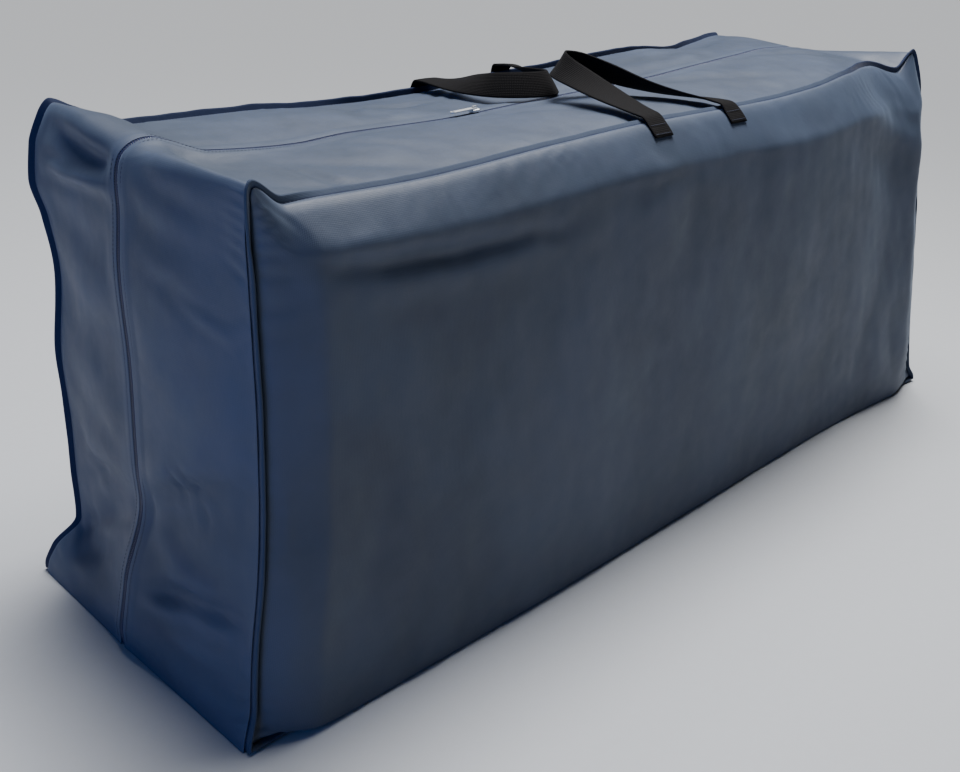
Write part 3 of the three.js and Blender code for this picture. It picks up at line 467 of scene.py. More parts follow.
def waves(points, scale, seed, count=7):
    """Smooth pseudo-random height between about -1 and 1, the same each run."""
    chance = np.random.default_rng(seed)
    total = np.zeros(points.shape[:-1])
    for _ in range(count):
        direction = chance.normal(size=3)
        direction *= (2 * np.pi / scale) * chance.uniform(0.6, 1.5) / np.linalg.norm(direction)
        total += np.sin(points @ direction + chance.uniform(0, 2 * np.pi))
    return total / math.sqrt(count)


def crease(points, tables):
    """Height of tables of creases: each is a valley with a low ridge on both sides of it."""
    height = np.zeros(points.shape[:-1])
    # Each crease wanders by a millimetre or two
    bent = points + 1.7 * np.stack([waves(points, 70, seed) for seed in (3, 4, 5)], axis=-1)
    for axis, table in tables:
        flat = np.ones(3)
        flat[axis] = ACROSS_FACE
        for wide, deep, *line in table:
            distance, share = to_line(bent * flat, np.array(line) * flat)
            taper = np.sin(np.pi * np.clip(share, 0.06, 0.94)) ** 0.7
            valley = np.exp(-((distance / wide) ** 2))
            ridge = np.exp(-(((distance - 1.9 * wide) / wide) ** 2))
            height -= deep * taper * (valley - 0.4 * ridge)
    return height


# Meshes


def select_only(piece):
    bpy.ops.object.select_all(action="DESELECT")
    piece.select_set(True)
    bpy.context.view_layer.objects.active = piece


def paint(colour):
    """A property's colour as a socket's four values."""
    return [*colour, 1.0]


def make_piece(name, vertices, faces, material, uv=None, wear_and_painted_light=None):
    """A mesh object from points in the bag's own millimetres, placed in the row's frame."""
    mesh = bpy.data.meshes.new(name)
    placed = (np.asarray(vertices).reshape(-1, 3) + BAG_TO_ROW) * MM
    mesh.from_pydata(placed.tolist(), [], [list(map(int, face)) for face in faces])
    if uv is not None:
        layer = mesh.uv_layers.new(name="cloth")
        corners = np.empty(len(mesh.loops), dtype=np.int32)
        mesh.loops.foreach_get("vertex_index", corners)
        layer.data.foreach_set("uv", np.asarray(uv, dtype=float).reshape(-1, 2)[corners].ravel())
    # This attribute carries scuffing on the cloth, and painted light on the front binding tape
    if wear_and_painted_light is not None:
        attribute = mesh.attributes.new("wear_and_painted_light", "FLOAT", "POINT")
        attribute.data.foreach_set("value", np.asarray(wear_and_painted_light, dtype=float).ravel())
    mesh.materials.append(bpy.data.materials[material])
    mesh.update()
    piece = bpy.data.objects.new(name, mesh)
    bpy.context.collection.objects.link(piece)
    select_only(piece)
    bpy.ops.object.shade_smooth()
    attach(piece, "root")
    return piece


def grid_faces(rows, columns):
    """Quads of a grid of points."""
    index = np.arange(rows * columns).reshape(rows, columns)
    here, ahead = index[:-1, :-1], index[1:, :-1]
    return np.stack([here, ahead, ahead + 1, here + 1], axis=-1).reshape(-1, 4)


def apply_modifier(piece, kind, **values):
    select_only(piece)
    modifier = piece.modifiers.new(kind.lower(), kind)
    for key, value in values.items():
        setattr(modifier, key, value)
    bpy.ops.object.modifier_apply(modifier=modifier.name)


def arc_lengths(points, axis=0):
    """The way along rows of points, from 0."""
    steps = np.linalg.norm(np.diff(points, axis=axis), axis=-1)
    start = np.zeros_like(np.take(steps, [0], axis=axis))
    return np.concatenate([start, np.cumsum(steps, axis=axis)], axis=axis)


def cloth_piece(node, points, turned, height, wear_and_painted_light):
    """One sheet of cloth from a grid of points, raised along its normals, with thickness."""
    thickness = bpy.context.scene.bag_sizes.cloth_thickness
    raised = points + surface_normals(points, turned) * height[..., None]
    uv = np.stack([arc_lengths(points, 1), arc_lengths(points)], axis=-1) * MM
    faces = grid_faces(*points.shape[:2])
    if turned < 0:
        faces = faces[:, ::-1]
    piece = make_piece(f"{node}_cloth", raised, faces, "coated_polyester_oxford", uv, wear_and_painted_light)
    apply_modifier(piece, "SOLIDIFY", thickness=thickness, offset=0.0, use_rim=True)
    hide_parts(node)
    return piece


def outwards(piece):
    """Turns a closed mesh's faces outwards."""
    select_only(piece)
    bpy.ops.object.mode_set(mode="EDIT")
    bpy.ops.mesh.select_all(action="SELECT")
    bpy.ops.mesh.normals_make_consistent(inside=False)
    bpy.ops.object.mode_set(mode="OBJECT")


def swept(name, rings, material, uv=None, wear_and_painted_light=None, closed=False):
    """A strip swept through rings of points, faces outwards; open ends get a face each."""
    count, around = rings.shape[:2]
    index = np.arange(count * around).reshape(count, around)
    wrapped = np.concatenate([index, index[:, :1]], axis=1)
    last = np.concatenate([wrapped, wrapped[:1]]) if closed else wrapped
    quads = np.stack([last[:-1, :-1], last[:-1, 1:], last[1:, 1:], last[1:, :-1]], axis=-1)
    faces = quads.reshape(-1, 4).tolist()
    if not closed:
        faces += [index[0][::-1].tolist(), index[-1].tolist()]
    piece = make_piece(name, rings, faces, material, uv, wear_and_painted_light)
    outwards(piece)
    return piece


def tape_section(half_width, half_thickness, corner, cells):
    """Outline of a flat strip with rounded edges: mm across it and through it."""
    flat = half_width - corner
    across = np.linspace(-1, 1, cells) * flat
    turn = np.radians(np.array((60.0, 30.0, 0.0, -30.0, -60.0)))
    right = np.stack([flat + corner * np.cos(turn), half_thickness * np.sin(turn)], -1)
    top = np.stack([across, np.full(cells, half_thickness)], -1)
    return np.concatenate([top, right, -top, -right])


def strip_map(girth, length):
    """Cloth map of a swept strip, from the way round its outline and the way along it."""
    return np.stack(np.broadcast_arrays(girth, length[:, None]), axis=-1) * MM


def strip_rings(centre, across, through, outline):
    """Rings of a swept strip: its outline laid along directions across and through it."""
    spread = centre[:, None] + across[:, None] * outline[:, :1]
    return spread + through[:, None] * outline[:, 1:]


# Materials


def linear(colour):
    """sRGB hex to linear RGBA."""
    shares = [int(colour[k : k + 2], 16) / 255 for k in (0, 2, 4)]
    return [c / 12.92 if c <= 0.04045 else ((c + 0.055) / 1.055) ** 2.4 for c in shares] + [1]


def add(tree, kind, inputs=None, out=0, **values):
    """Adds a shader node with its settings, fed by values or sockets, and gives an output."""
    node = tree.nodes.new("ShaderNode" + kind)
    for key, value in values.items():
        setattr(node, key, value)
    for key, value in (inputs or {}).items():
        if isinstance(value, bpy.types.NodeSocket):
            tree.links.new(value, node.inputs[key])
        else:
            node.inputs[key].default_value = value
    return node.outputs[out] if node.outputs else None


def new_material(name):
    material = bpy.data.materials.new(name)
    material.use_nodes = True
    material.node_tree.nodes.clear()
    return material, material.node_tree


def weave(tree, pitch, drift):
    """Height of a plain weave on the piece's own cloth map, and that map."""
    place = add(tree, "UVMap", uv_map="cloth")
    # Threads wander every 17 mm or so
    wander = add(tree, "TexNoise", {"Vector": place, "Scale": 60.0, "Detail": 2.0}, "Color")
    off = add(tree, "VectorMath", {0: wander, 1: (drift,) * 3}, operation="MULTIPLY")
    thread = add(tree, "VectorMath", {0: place, 1: off}, operation="ADD")
    bands = [
        add(
            tree, "TexWave", {"Vector": thread, "Scale": WAVE_UNIT / pitch}, "Fac",
            wave_type="BANDS", bands_direction=way, wave_profile="SIN",
        )
        for way in ("X", "Y")
    ]
    return add(tree, "Math", {0: bands[0], 1: bands[1]}, operation="MULTIPLY"), place


def coated_oxford():
    """Polyester oxford with a dull coating: dark navy that greys where it is scuffed."""
    colours = bpy.context.scene.bag_colours
    tree = new_material("coated_polyester_oxford")[1]
    # Drawn at 1.6 mm, because the real 0.5 mm thread spacing would not show
    threads, _ = weave(tree, 0.0016, 0.0006)
    where = add(tree, "TexCoord", out="Object")
    # Tone drifts over 140 mm, and scuffs lie 33 mm apart
    cloudy = add(tree, "TexNoise", {"Vector": where, "Scale": 7.0, "Detail": 4.0, "Roughness": 0.6})
    patchy = add(tree, "TexNoise", {"Vector": where, "Scale": 30.0, "Detail": 6.0, "Roughness": 0.7})
    wear_and_painted_light = add(tree, "Attribute", out="Fac", attribute_name="wear_and_painted_light")
    scuffed = add(tree, "Math", {0: wear_and_painted_light, 1: patchy}, operation="MULTIPLY")
    spread = add(tree, "MapRange", {"Value": cloudy, "From Min": 0.35, "From Max": 0.65})
    plain = {0: spread, 6: paint(colours.cloth_dark), 7: paint(colours.cloth)}
    tone = add(tree, "Mix", plain, 2, data_type="RGBA")
    worn = {0: scuffed, 6: tone, 7: paint(colours.cloth_worn)}
    colour = add(tree, "Mix", worn, 2, data_type="RGBA")
    rough = add(
        tree, "MapRange",
        {"Value": patchy, "From Min": 0.3, "From Max": 0.7, "To Min": 0.48, "To Max": 0.6},
    )
    rumpled = add(tree, "Bump", {"Height": patchy, "Distance": 0.0008, "Strength": 0.5})
    woven = {"Height": threads, "Distance": 0.00016, "Strength": 0.45, "Normal": rumpled}
    normal = add(tree, "Bump", woven)
    surface = add(
        tree, "BsdfPrincipled",
        {
            "Base Color": colour, "Roughness": rough, "Normal": normal, "IOR": 1.5,
            "Specular IOR Level": 0.35, "Sheen Weight": 0.12, "Sheen Roughness": 0.4,
            "Sheen Tint": (0.55, 0.72, 1.0, 1.0),
        },
    )
    add(tree, "OutputMaterial", {"Surface": surface})


def woven_strip(name, colour, worn, pitch, depth, roughness, sheen, painted_lit_face=None):
    """Woven tape or webbing: fine ribs across it, a slow drift in tone, rubbed edges, and optionally
    a painted lit face, a lighter colour laid on where top light falls.
    """
    tree = new_material(name)[1]
    threads, place = weave(tree, pitch, 0.0002)
    # Rubbed in patches 29 mm apart
    cloudy = add(tree, "TexNoise", {"Vector": place, "Scale": 35.0, "Detail": 5.0})
    rubbed = add(tree, "Math", {0: threads, 1: cloudy}, operation="MULTIPLY")
    tone = add(tree, "Mix", {0: rubbed, 6: paint(colour), 7: paint(worn)}, 2, data_type="RGBA")
    # Painted light: a lighter colour where top light falls on the tape, placed by the mesh's
    # attribute
    if painted_lit_face is not None:
        painted_lit_share = add(tree, "Attribute", out="Fac", attribute_name="wear_and_painted_light")
        tone = add(tree, "Mix", {0: painted_lit_share, 6: tone, 7: paint(painted_lit_face)}, 2, data_type="RGBA")
    normal = add(tree, "Bump", {"Height": threads, "Distance": depth, "Strength": 0.9})
    surface = add(
        tree, "BsdfPrincipled",
        {
            "Base Color": tone, "Roughness": roughness, "Normal": normal, "IOR": 1.5,
            "Specular IOR Level": 0.08, "Sheen Weight": sheen, "Sheen Roughness": 0.4,
        },
    )
    add(tree, "OutputMaterial", {"Surface": surface})


def moulded(name, colour, roughness, metallic, grain, depth, ior=1.5):
    """Plain moulded, cast or spun finish with a fine grain of a given scale per metre."""
    material, tree = new_material(name)
    where = add(tree, "TexCoord", out="Object")
    fine = add(tree, "TexNoise", {"Vector": where, "Scale": grain, "Detail": 4.0})
    low, high = roughness * 0.8, roughness * 1.2
    rough = add(tree, "MapRange", {"Value": fine, "To Min": low, "To Max": high})
    normal = add(tree, "Bump", {"Height": fine, "Distance": depth, "Strength": 0.5})
    surface = add(
        tree, "BsdfPrincipled",
        {
            "Base Color": paint(colour), "Roughness": rough, "Metallic": metallic,
            "Normal": normal, "IOR": ior,
        },
    )
    add(tree, "OutputMaterial", {"Surface": surface})
    return material


# Settings in the sidebar


def colour_property(name, description, hex_value):
    return FloatVectorProperty(
        name=name, description=description, default=linear(hex_value)[:3], subtype="COLOR",
        min=0.0, max=1.0,
    )


def size_property(name, description, default):
    return FloatProperty(
        name=name, description=description, default=default, unit="LENGTH", min=0.0
    )


class BagSizes(bpy.types.PropertyGroup):
    cloth_thickness: size_property("Cloth thickness", "Thickness of every cloth panel", 0.001)
    undulation: size_property("Undulation", "Height of the filling's broad unevenness", 0.0016)
    crease_share: FloatProperty(
        name="Creases", description="How strongly the fine creases are pressed in",
        default=1.0, min=0.0, max=2.0, subtype="FACTOR",
    )
    pucker: size_property("Puckers", "Height of the small puckers beside every seam", 0.0007)
    pucker_spacing: size_property("Pucker spacing", "Distance between puckers", 0.021)
    stitch_length: size_property("Stitch length", "Length of one stitch", 0.0028)
    stitch_pitch: size_property("Stitch pitch", "Distance from stitch to stitch", 0.004)
    thread_width: size_property("Thread width", "Thickness of the sewing thread", 0.0007)
    tooth_pitch: size_property("Tooth pitch", "Distance from zip tooth to zip tooth", 0.0024)


class BagColours(bpy.types.PropertyGroup):
    cloth: colour_property("Cloth", "Coated cloth", "364052")
    cloth_dark: colour_property("Cloth, dark", "Darker drift in the cloth", "2f3847")
    cloth_worn: colour_property("Cloth, scuffed", "Cloth where it is scuffed", "434e62")
    tape: colour_property("Binding tape", "Tape round the flanges", "16203a")
    tape_worn: colour_property("Binding tape, rubbed", "Rubbed threads of the tape", "243252")
    webbing: colour_property("Webbing", "Handles", "080709")
    webbing_worn: colour_property("Webbing, rubbed", "Rubbed threads of the handles", "0e0d10")
    zip_coil: colour_property("Zip", "Coil of the zip", "121d42")
    metal: colour_property("Metal", "Slider and pull", "dfe2e6")
    thread: colour_property("Thread", "Sewing thread", "182340")
    floor: colour_property("Floor", "Seamless paper", "a2a5aa")


# Cloth


def pucker_height(points, run, from_edge):
    """Small ripples beside a seam: run is the way along it and from_edge off it, in mm."""
    sizes = bpy.context.scene.bag_sizes
    spacing = sizes.pucker_spacing / MM
    warped = run / spacing + 0.9 * waves(points, 120, 21)
    ripple = np.sin(2 * np.pi * warped) + 0.5 * np.sin(2 * np.pi * 1.9 * warped + 1.3)
    rise = (from_edge / PUCKER_REACH) * np.exp(1 - from_edge / PUCKER_REACH)
    patches = 0.45 + 0.55 * waves(points, 160, 22)
    return sizes.pucker / MM * ripple * rise * np.clip(patches, 0, 1.3)


def relief(points, from_edge, run, tables, seed):
    """All the fine height of a cloth: broad unevenness, creases and seam puckers."""
    sizes = bpy.context.scene.bag_sizes
    free = smoothstep(from_edge, 1, 34)
    # Waves about 300, 120 and 34 mm long
    broad = waves(points, 300, seed) + 0.45 * waves(points, 120, seed + 1)
    height = sizes.undulation / MM * broad + sizes.crease_share * crease(points, tables)
    height = height + 0.22 * waves(points, 34, seed + 2)
    return height * free + pucker_height(points, run, from_edge)


def wear_of(height, from_edge):
    """Scuffing: beside the seams and on what stands proud."""
    proud = np.clip(height / PROUD, 0, 1)
    return np.clip(0.75 * np.exp(-from_edge / SCUFF_REACH) + 0.5 * proud, 0, 1)


class BAG_OT_side_panels(bpy.types.Operator):
    """Make the two long side panels, filled out between their seams"""

    bl_idname = "bag.side_panels"
    bl_label = "Side panels"

    def execute(self, context):
        up, across = (stations(cells) for cells in PANEL_CELLS)
        for side, name in SIDES:
            points = panel_points(side, across, up[:, None])
            from_side = np.minimum(across, 1 - across) * LENGTH + 0 * up[:, None]
            from_rim = np.minimum(up, 1 - up)[:, None] * HEIGHT + 0 * across
            run = np.where(from_side < from_rim, points[..., 2], points[..., 0])
            from_edge = np.minimum(from_side, from_rim)
            height = relief(points, from_edge, run, PANEL_CREASES[side], 31 + side)
            height *= smoothstep(points[..., 2], *FLOOR_FADE)
            for x in foot_places(side):
                gap = np.hypot(points[..., 0] - x, points[..., 2] - FOOT_HEIGHT)
                height *= smoothstep(gap, *FOOT_FADE)
            cloth_piece(
                f"{name}_panel", points, side, height, wear_of(height, from_edge),
            )
        return {"FINISHED"}


class BAG_OT_strips(bpy.types.Operator):
    """Make the two halves of the strip round the ends and the top, with their zip hems"""

    bl_idname = "bag.strips"
    bl_label = "Strips"

    def execute(self, context):
        place, share = strip_places(*STRIP_CELLS), stations(*STRIP_ACROSS)
        for side, name in SIDES:
            points = strip_points(side, place, share)
            # The last of each end turns down to the floor
            fall = np.maximum(1 - np.minimum(place, 3 - place) / STRIP_END, 0)[:, None]
            points[..., 2] += (CLEARANCE - points[..., 2]) * smoothstep(fall, 0, 1)
            points[..., 0] += np.sign(place - 1)[:, None] * fall
            from_seam = arc_lengths(points, 1)
            from_zip = from_seam[:, -1:] - from_seam
            from_edge = np.minimum(from_seam, from_zip + CREASE_END)
            height = relief(points, from_edge, arc_lengths(points), STRIP_CREASES, 51 + side)
            height *= smoothstep(from_zip, CREASE_END, 30)
            height *= smoothstep(points[..., 2], *FLOOR_FADE)
            height += HEM_RISE * (1 - smoothstep(from_zip, HEM_START, HEM_END))
            wear_and_painted_light = wear_of(height, np.minimum(from_seam, from_zip))
            cloth_piece(
                f"strip_{name}", points, -side, height, wear_and_painted_light,
            )
        return {"FINISHED"}


class BAG_OT_base(bpy.types.Operator):
    """Make the flat base cloth that the bag stands on"""

    bl_idname = "bag.base"
    bl_label = "Base"

    def execute(self, context):
        length, part = stations(BASE_CELLS[0]), np.linspace(0, 1, BASE_CELLS[1])
        front = strip_edge(FRONT, 4 - length)[:, 1]
        rear = strip_edge(REAR, 4 - length)[:, 1]

        def foot_x(at):
            ends = [strip_edge(side, at)[0] for side in (FRONT, REAR)]
            return np.interp(part, (0, 0.5, 1), (ends[0], zip_points(at)[0], ends[1]))

        near, far = foot_x(0) + BASE_INSET, foot_x(3) - BASE_INSET
        x = near * (1 - length[:, None]) + far * length[:, None]
        y = front[:, None] * (1 - part) + rear[:, None] * part
        points = np.stack([x, y, np.full(x.shape, BASE_RISE)], axis=-1)
        even = np.zeros(x.shape)
        cloth_piece(
            "base_panel", points, 1, even, even,
        )
        return {"FINISHED"}


# Bindings, zip and handles


def seam_places():
    """Places all round a seam, the base's included."""
    ends, top = SEAM_CELLS
    return np.concatenate([strip_places(ends, top), 3 + stations(top)[1:-1]])


class BAG_OT_bindings(bpy.types.Operator):
    """Fold the binding tape round both seams' standing flanges"""

    bl_idname = "bag.bindings"
    bl_label = "Binding tapes"

    def execute(self, context):
        outline = tape_section(FLANGE_WIDTH / 2, FLANGE_THICKNESS / 2, BINDING_EDGE, 7)
        girth, place = arc_lengths(outline), seam_places()
        for side, name in SIDES:
            root, flange, panel = seam(side, place)
            # The tape wavers by a third of a millimetre, and is a tenth thicker in places
            ripple = 0.35 * waves(root, 45, 71 + side)[:, None]
            swell = 1 + 0.1 * waves(root, 30, 73 + side)[:, None]
            centre = root + flange * (FLANGE_WIDTH / 2 + ripple)
            rings = strip_rings(centre, flange, unit(panel) * swell, outline)
            uv = strip_map(girth, arc_lengths(root))
            # Painted light: the front tape takes the cloth's lighter colour where top light falls on
            # it, and keeps its own dark colour at its root and round the far corner, where shade
            # falls
            painted_lit_face = 1 - smoothstep(place, 1.74, 1.86) * (1 - smoothstep(place, 2.1, 2.2))
            painted_lit_face = painted_lit_face[:, None] * smoothstep(outline[:, 0], -1.6, -0.6)
            wear_and_painted_light = painted_lit_face if side == FRONT else np.zeros(painted_lit_face.shape)
            piece = swept(
                f"binding_{name}_tape", rings, "woven_polyester_tape", uv, wear_and_painted_light, closed=True
            )
            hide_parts(f"binding_{name}")
        return {"FINISHED"}


class BAG_OT_zip(bpy.types.Operator):
    """Make the closed zip: its coil of teeth and the tape behind it"""

    bl_idname = "bag.zip"
    bl_label = "Zip"

    def execute(self, context):
        pitch = context.scene.bag_sizes.tooth_pitch / MM
        place = strip_places(*STRIP_CELLS)
        line, normal = zip_points(place), zip_normal(place)
        run = arc_lengths(line)

        outline = tape_section(*ZIP_TAPE, 5)
        centre = line - normal * ZIP_TAPE_DEPTH
        centre[:, 2] = np.maximum(centre[:, 2], ZIP_TAPE_FLOOR)
        rings = strip_rings(centre, across_strip(place), normal, outline)
        uv = strip_map(np.linspace(0, ZIP_TAPE_GIRTH, len(outline)), run)
        tape = swept("zip_tape", rings, "knitted_zip_tape", uv)

        # Teeth from both sides by turns, each half a pitch on
        count = int(run[-1] / pitch * 2)
        at = np.interp((np.arange(count) + 0.5) / count * run[-1], run, place)
        middle, sideways, up = zip_points(at), across_strip(at), zip_normal(at)
        hand = np.where(np.arange(count) % 2, 1.0, -1.0)[:, None]
        middle = middle + sideways * hand * TOOTH_SHIFT
        middle[:, 2] = np.maximum(middle[:, 2], TOOTH_FLOOR)
        coil = copies(
            "zip_coil_teeth", tooth_pattern(), middle, sideways * hand, up, "spun_nylon_coil"
        )
        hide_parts("zip")
        return {"FINISHED"}


def tooth_pattern():
    """One turn of the zip's coil, across the zip: a bar with a rounded, raised head."""
    long, thick = TOOTH
    wide = bpy.context.scene.bag_sizes.tooth_pitch / MM * TOOTH_SHARE
    bpy.ops.object.select_all(action="DESELECT")
    bpy.ops.mesh.primitive_cube_add(size=1.0)
    tooth = bpy.context.active_object
    bpy.ops.object.mode_set(mode="EDIT")
    bpy.ops.transform.resize(value=(long, wide, thick))
    bpy.ops.mesh.select_all(action="DESELECT")
    bpy.ops.object.mode_set(mode="OBJECT")
    for polygon in tooth.data.polygons:
        polygon.select = polygon.normal.x > 0.9
    bpy.ops.object.mode_set(mode="EDIT")
    bpy.ops.mesh.select_mode(type="FACE")
    bpy.ops.transform.resize(value=TOOTH_HEAD)
    bpy.ops.mesh.select_all(action="SELECT")
    bpy.ops.mesh.bevel(offset=TOOTH_EDGE, segments=1, affect="EDGES")
    bpy.ops.object.mode_set(mode="OBJECT")
    return tooth


def stitch_pattern():
    """One stitch of thread along its own X, sunk at both ends."""
    sizes = bpy.context.scene.bag_sizes
    bpy.ops.object.select_all(action="DESELECT")
    bpy.ops.mesh.primitive_uv_sphere_add(segments=6, ring_count=5, radius=0.5)
    stitch = bpy.context.active_object
    bpy.ops.object.mode_set(mode="EDIT")
    bpy.ops.mesh.select_all(action="SELECT")
    bpy.ops.transform.rotate(value=math.pi / 2, orient_axis="Y", center_override=(0, 0, 0))
    width = sizes.thread_width / MM
    bpy.ops.transform.resize(value=(sizes.stitch_length / MM, width, width * 0.8))
    bpy.ops.object.mode_set(mode="OBJECT")
    return stitch


def copies(name, pattern, places, ahead, up, material):
    """Copies of one small pattern at places, its X along ahead and its Z along up."""
    shape = np.array([vertex.co for vertex in pattern.data.vertices])
    # A new sphere's faces start at any corner, so each is turned to start at its lowest
    corners = [list(polygon.vertices) for polygon in pattern.data.polygons]
    faces = sorted(np.roll(face, -np.argmin(face)).tolist() for face in corners)
    bpy.data.objects.remove(pattern)
    ahead = unit(ahead)
    side = unit(np.cross(up, ahead))
    raised = unit(np.cross(ahead, side))
    vertices = places[:, None] + ahead[:, None] * shape[:, :1]
    vertices = vertices + side[:, None] * shape[:, 1:2] + raised[:, None] * shape[:, 2:]
    count = len(shape)
    all_faces = [[k + n * count for k in face] for n in range(len(places)) for face in faces]
    return make_piece(name, vertices, all_faces, material)


def catmull(points, per_row):
    """Points on a centripetal curve through rows, per_row between each two."""
    rows = np.concatenate([[2 * points[0] - points[1]], points, [2 * points[-1] - points[-2]]])
    found = []
    for k in range(1, len(rows) - 2):
        p = rows[k - 1 : k + 3]
        gaps = np.maximum(np.linalg.norm(np.diff(p, axis=0), axis=1) ** 0.5, 1e-6)
        slope = [
            (p[n + 1] - p[n]) / gaps[n] - (p[n + 2] - p[n]) / (gaps[n] + gaps[n + 1])
            + (p[n + 2] - p[n + 1]) / gaps[n + 1]
            for n in (0, 1)
        ]
        last = k == len(rows) - 3
        u = np.linspace(0, 1, per_row + 1)[: None if last else -1, None]
        found.append(cubic(u, p[1], p[2], slope[0] * gaps[1], slope[1] * gaps[1]))
    return np.concatenate(found)


def foot_line(side, x, shares):
    """A handle's foot down a side panel's rounding: points, level and outward directions."""
    up = 1 - shares * FOOT_DROP / HEIGHT
    centre = x / LENGTH + 0.5
    half = WEBBING_WIDTH / 2 / LENGTH
    level = panel_points(side, centre + half, up) - panel_points(side, centre - half, up)
    here = panel_points(side, centre, up)
    run = panel_points(side, centre, up - 0.004) - here
    outward = unit(np.cross(level, run) * side)
    return here + outward * FOOT_LIFT, unit(level), outward


def foot_places(side):
    """Where a handle's two feet stand along the bag."""
    return HANDLE_LINE[side][0][0], HANDLE_LINE[side][-1][0]


def handle_line(side, per_row=6):
    """Centres, width and thickness directions of a handle from foot to foot."""
    table = np.array(HANDLE_LINE[side], dtype=float)
    centres = catmull(table[:, :3], per_row)
    keys = list(enumerate(table[:, 3]))
    turn = np.radians(read(keys, 1, np.linspace(0, len(table) - 1, len(centres))))[:, None]
    tangent = unit(np.gradient(centres, axis=0))
    lift = unit(np.array([0.0, 0.0, 1.0]) - tangent * tangent[:, 2:])
    level = -side * np.cross(tangent, lift)
    width = level * np.cos(turn) + lift * np.sin(turn)
    through = np.cross(tangent, width)
    near, far = (foot_line(side, x, FOOT_SHARES) for x in foot_places(side))
    centres = np.concatenate([near[0][::-1], centres, far[0]])
    width = np.concatenate([near[1][::-1], width, -far[1]])
    through = np.concatenate([near[2][::-1] * side, through, far[2] * side])
    # Smoothed, so that the webbing bends softly from the loop into its feet
    for _ in range(3):
        for line in (centres, width, through):
            line[1:-1] = (line[:-2] + 2 * line[1:-1] + line[2:]) / 4
    return centres, unit(width), unit(through)


class BAG_OT_handles(bpy.types.Operator):
    """Make the two webbing loops that are sewn to the side panels"""

    bl_idname = "bag.handles"
    bl_label = "Handles"

    def execute(self, context):
        outline = tape_section(WEBBING_WIDTH / 2, WEBBING_THICKNESS / 2, WEBBING_EDGE, 13)
        girth = arc_lengths(outline)
        outline[:, 1] += 0.5 * np.cos(np.pi * outline[:, 0] / WEBBING_WIDTH)  # its soft bow
        for side, name in SIDES:
            centres, width, through = handle_line(side)
            rings = strip_rings(centres, width, through, outline)
            uv = strip_map(girth, arc_lengths(centres))
            piece = swept(f"handle_{name}_webbing", rings, "woven_polypropylene_webbing", uv)
            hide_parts(f"handle_{name}")
        return {"FINISHED"}


def sewn_twice(name, one, other, line, up, other_up):
    """Two rows of stitches beside one line, each with its own upward direction."""
    ahead = np.tile(unit(np.gradient(line, axis=0)), (2, 1))
    places, ups = np.concatenate([one, other]), np.concatenate([up, other_up])
    return copies(name, stitch_pattern(), places, ahead, ups, THREAD)


class BAG_OT_stitching(bpy.types.Operator):
    """Sew the bindings, the zip's hems and the handles' feet"""

    bl_idname = "bag.stitching"
    bl_label = "Stitching"

    def execute(self, context):
        pitch = context.scene.bag_sizes.stitch_pitch / MM
        place = seam_places()
        for side, name in SIDES:
            run = arc_lengths(seam(side, place)[0])
            at = np.interp(np.arange(0, run[-1], pitch), run, place)
            line, flange, panel = seam(side, at)
            face = unit(panel)
            centre = line + flange * FLANGE_ROW
            off = face * (FLANGE_THICKNESS / 2 + FLANGE_ROW_LIFT)
            piece = sewn_twice(
                f"stitches_{name}", centre + off, centre - off, line, face, -face
            )

        place = strip_places(*STRIP_CELLS)
        run = arc_lengths(zip_points(place))
        ways = np.arange(ZIP_ROW_START, run[-1] - ZIP_ROW_START, pitch)
        at = np.interp(ways, run, place)
        line, up = zip_points(at), zip_normal(at)
        off, lift = across_strip(at) * ZIP_ROW, up * ZIP_ROW_LIFT
        piece = sewn_twice("stitches_zip", line - off + lift, line + off + lift, line, up, up)

        feet = [
            foot_line(side, x, np.array([share]))
            for side in (FRONT, REAR) for x in foot_places(side) for share in FOOT_ROWS
        ]
        here, level, outward = (np.array([foot[k] for foot in feet]) for k in range(3))
        places = here + level * FOOT_STITCHES[:, None] + outward * FOOT_STITCH_LIFT
        piece = copies(
            "stitches_handles", stitch_pattern(), places.reshape(-1, 3),
            np.repeat(level[:, 0], FOOT_STITCHES.size, axis=0),
            np.repeat(outward[:, 0], FOOT_STITCHES.size, axis=0), THREAD,
        )
        return {"FINISHED"}


class BAG_OT_metal(bpy.types.Operator):
    """Give the slider and its pull their plated finish"""

    bl_idname = "bag.metal"
    bl_label = "Slider and pull"

    def execute(self, context):
        for name in ("zip_slider", "zip_pull"):
            node = bpy.data.objects[name]
            node.data.materials.clear()
            node.data.materials.append(bpy.data.materials["nickel_plated_zinc"])
        return {"FINISHED"}


class BAG_OT_finishes(bpy.types.Operator):
    """Make the materials of the cloth, tapes, webbing, zip, thread and metal"""

    bl_idname = "bag.finishes"
    bl_label = "Finishes"

    def execute(self, context):
        colours = context.scene.bag_colours
        coated_oxford()
        # Grosgrain tape folded over the edge, its ribs drawn at 1.2 mm: a matt, darker line
        woven_strip(
            "woven_polyester_tape", colours.tape, colours.tape_worn, 0.0012, 0.0002, 0.6, 0.1,
            # The front tape's lit face is painted light, in the cloth's colour
            painted_lit_face=colours.cloth,
        )
        # Heavy webbing, ribbed every 2 mm: near black, and dull but for its ribs
        woven_strip(
            "woven_polypropylene_webbing", colours.webbing, colours.webbing_worn, 0.002, 0.0004,
            0.75, 0.03,
        )
        # Flat knitted tape behind the teeth: matt, with no shine of its own
        woven_strip("knitted_zip_tape", colours.zip_coil, colours.tape, 0.0012, 0.0002, 0.8, 0.1)
        # Nylon coil spun smooth, with a low gloss and a 1.1 mm ripple
        moulded("spun_nylon_coil", colours.zip_coil, 0.4, 0.0, 900.0, 0.00005, 1.53)
        # Twisted thread bonded to a dull gloss, its twist 0.4 mm long
        moulded(THREAD, colours.thread, 0.6, 0.0, 2500.0, 0.0001)
        # Cast zinc, barrel polished and plated: bright, with a soft 1.4 mm orange-peel grain
        moulded("nickel_plated_zinc", colours.metal, 0.42, 1.0, 700.0, 0.00004)
        return {"FINISHED"}


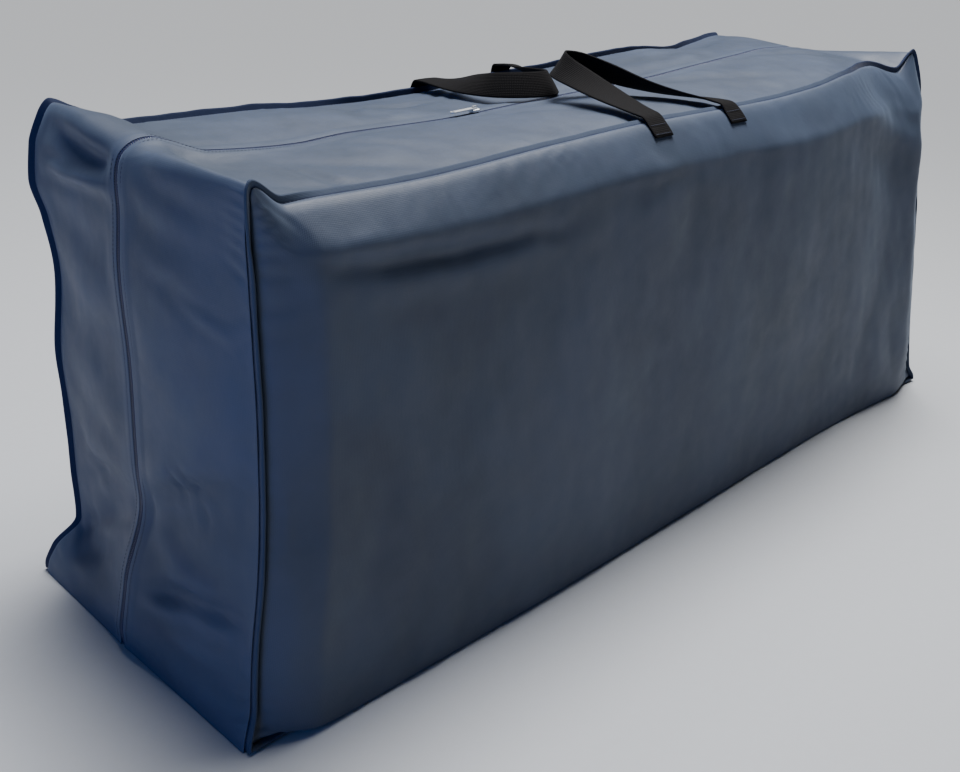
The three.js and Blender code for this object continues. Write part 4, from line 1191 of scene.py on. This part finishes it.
class BAG_OT_stage(bpy.types.Operator):
    """Make the pale floor, the studio light and the camera"""

    bl_idname = "bag.stage"
    bl_label = "Stage"

    def execute(self, context):
        colours = context.scene.bag_colours
        bpy.ops.object.select_all(action="DESELECT")
        bpy.ops.mesh.primitive_plane_add(size=FLOOR_SIZE, location=(0, 0, -FLOOR_GAP))
        floor = context.active_object
        floor.name = "floor"
        # Uncoated paper off a roll: pale, even and matt
        paper = moulded("matte_seamless_paper", colours.floor, 0.9, 0.0, 80.0, 0.0001)
        floor.data.materials.append(paper)
        world = bpy.data.worlds.new("studio")
        world.use_nodes = True
        sky = world.node_tree.nodes["Background"].inputs
        sky["Color"].default_value = WORLD_COLOUR
        sky["Strength"].default_value = WORLD_STRENGTH
        context.scene.world = world
        for name, kind, place, aim, softness, energy, colour in SOFT_LIGHTS:
            light = bpy.data.lights.new(name, kind)
            light.energy, light.color = energy, colour
            setattr(light, "angle" if kind == "SUN" else "size", softness)
            lamp = bpy.data.objects.new(name, light)
            context.collection.objects.link(lamp)
            lamp.location = place
            lamp.visible_camera = False
            lamp.rotation_euler = (Vector(aim) - Vector(place)).to_track_quat("-Z", "Y").to_euler()
        view = bpy.data.cameras.new("camera")
        view.sensor_width, view.lens, view.shift_y = 36, CAMERA_LENS, CAMERA_SHIFT_Y
        camera = bpy.data.objects.new("camera", view)
        context.collection.objects.link(camera)
        camera.location = CAMERA_PLACE
        camera.rotation_euler = [math.radians(angle) for angle in CAMERA_TURN]
        context.scene.camera = camera
        return {"FINISHED"}


class BAG_PT_panel(bpy.types.Panel):
    """Lists the bag's settings and the steps that build it"""

    bl_idname = "BAG_PT_panel"
    bl_label = "Cushion storage bag"
    bl_space_type = "VIEW_3D"
    bl_region_type = "UI"
    bl_category = "Bag"

    def draw(self, context):
        for group in (context.scene.bag_sizes, context.scene.bag_colours):
            for key in group.__annotations__:
                self.layout.prop(group, key)
        for operator in OPERATORS:
            self.layout.operator(operator.bl_idname)


OPERATORS = (
    BAG_OT_stage, BAG_OT_finishes, BAG_OT_side_panels, BAG_OT_strips, BAG_OT_base,
    BAG_OT_bindings, BAG_OT_zip, BAG_OT_handles, BAG_OT_stitching, BAG_OT_metal,
)
CLASSES = (BagSizes, BagColours, *OPERATORS, BAG_PT_panel)


def register():
    for one in CLASSES:
        bpy.utils.register_class(one)
    bpy.types.Scene.bag_sizes = PointerProperty(type=BagSizes)
    bpy.types.Scene.bag_colours = PointerProperty(type=BagColours)


def unregister():
    del bpy.types.Scene.bag_colours
    del bpy.types.Scene.bag_sizes
    for one in reversed(CLASSES):
        bpy.utils.unregister_class(one)


def main():
    register()
    for operator in OPERATORS:
        getattr(bpy.ops.bag, operator.bl_idname.split(".")[1])()


if __name__ == "__main__":
    main()
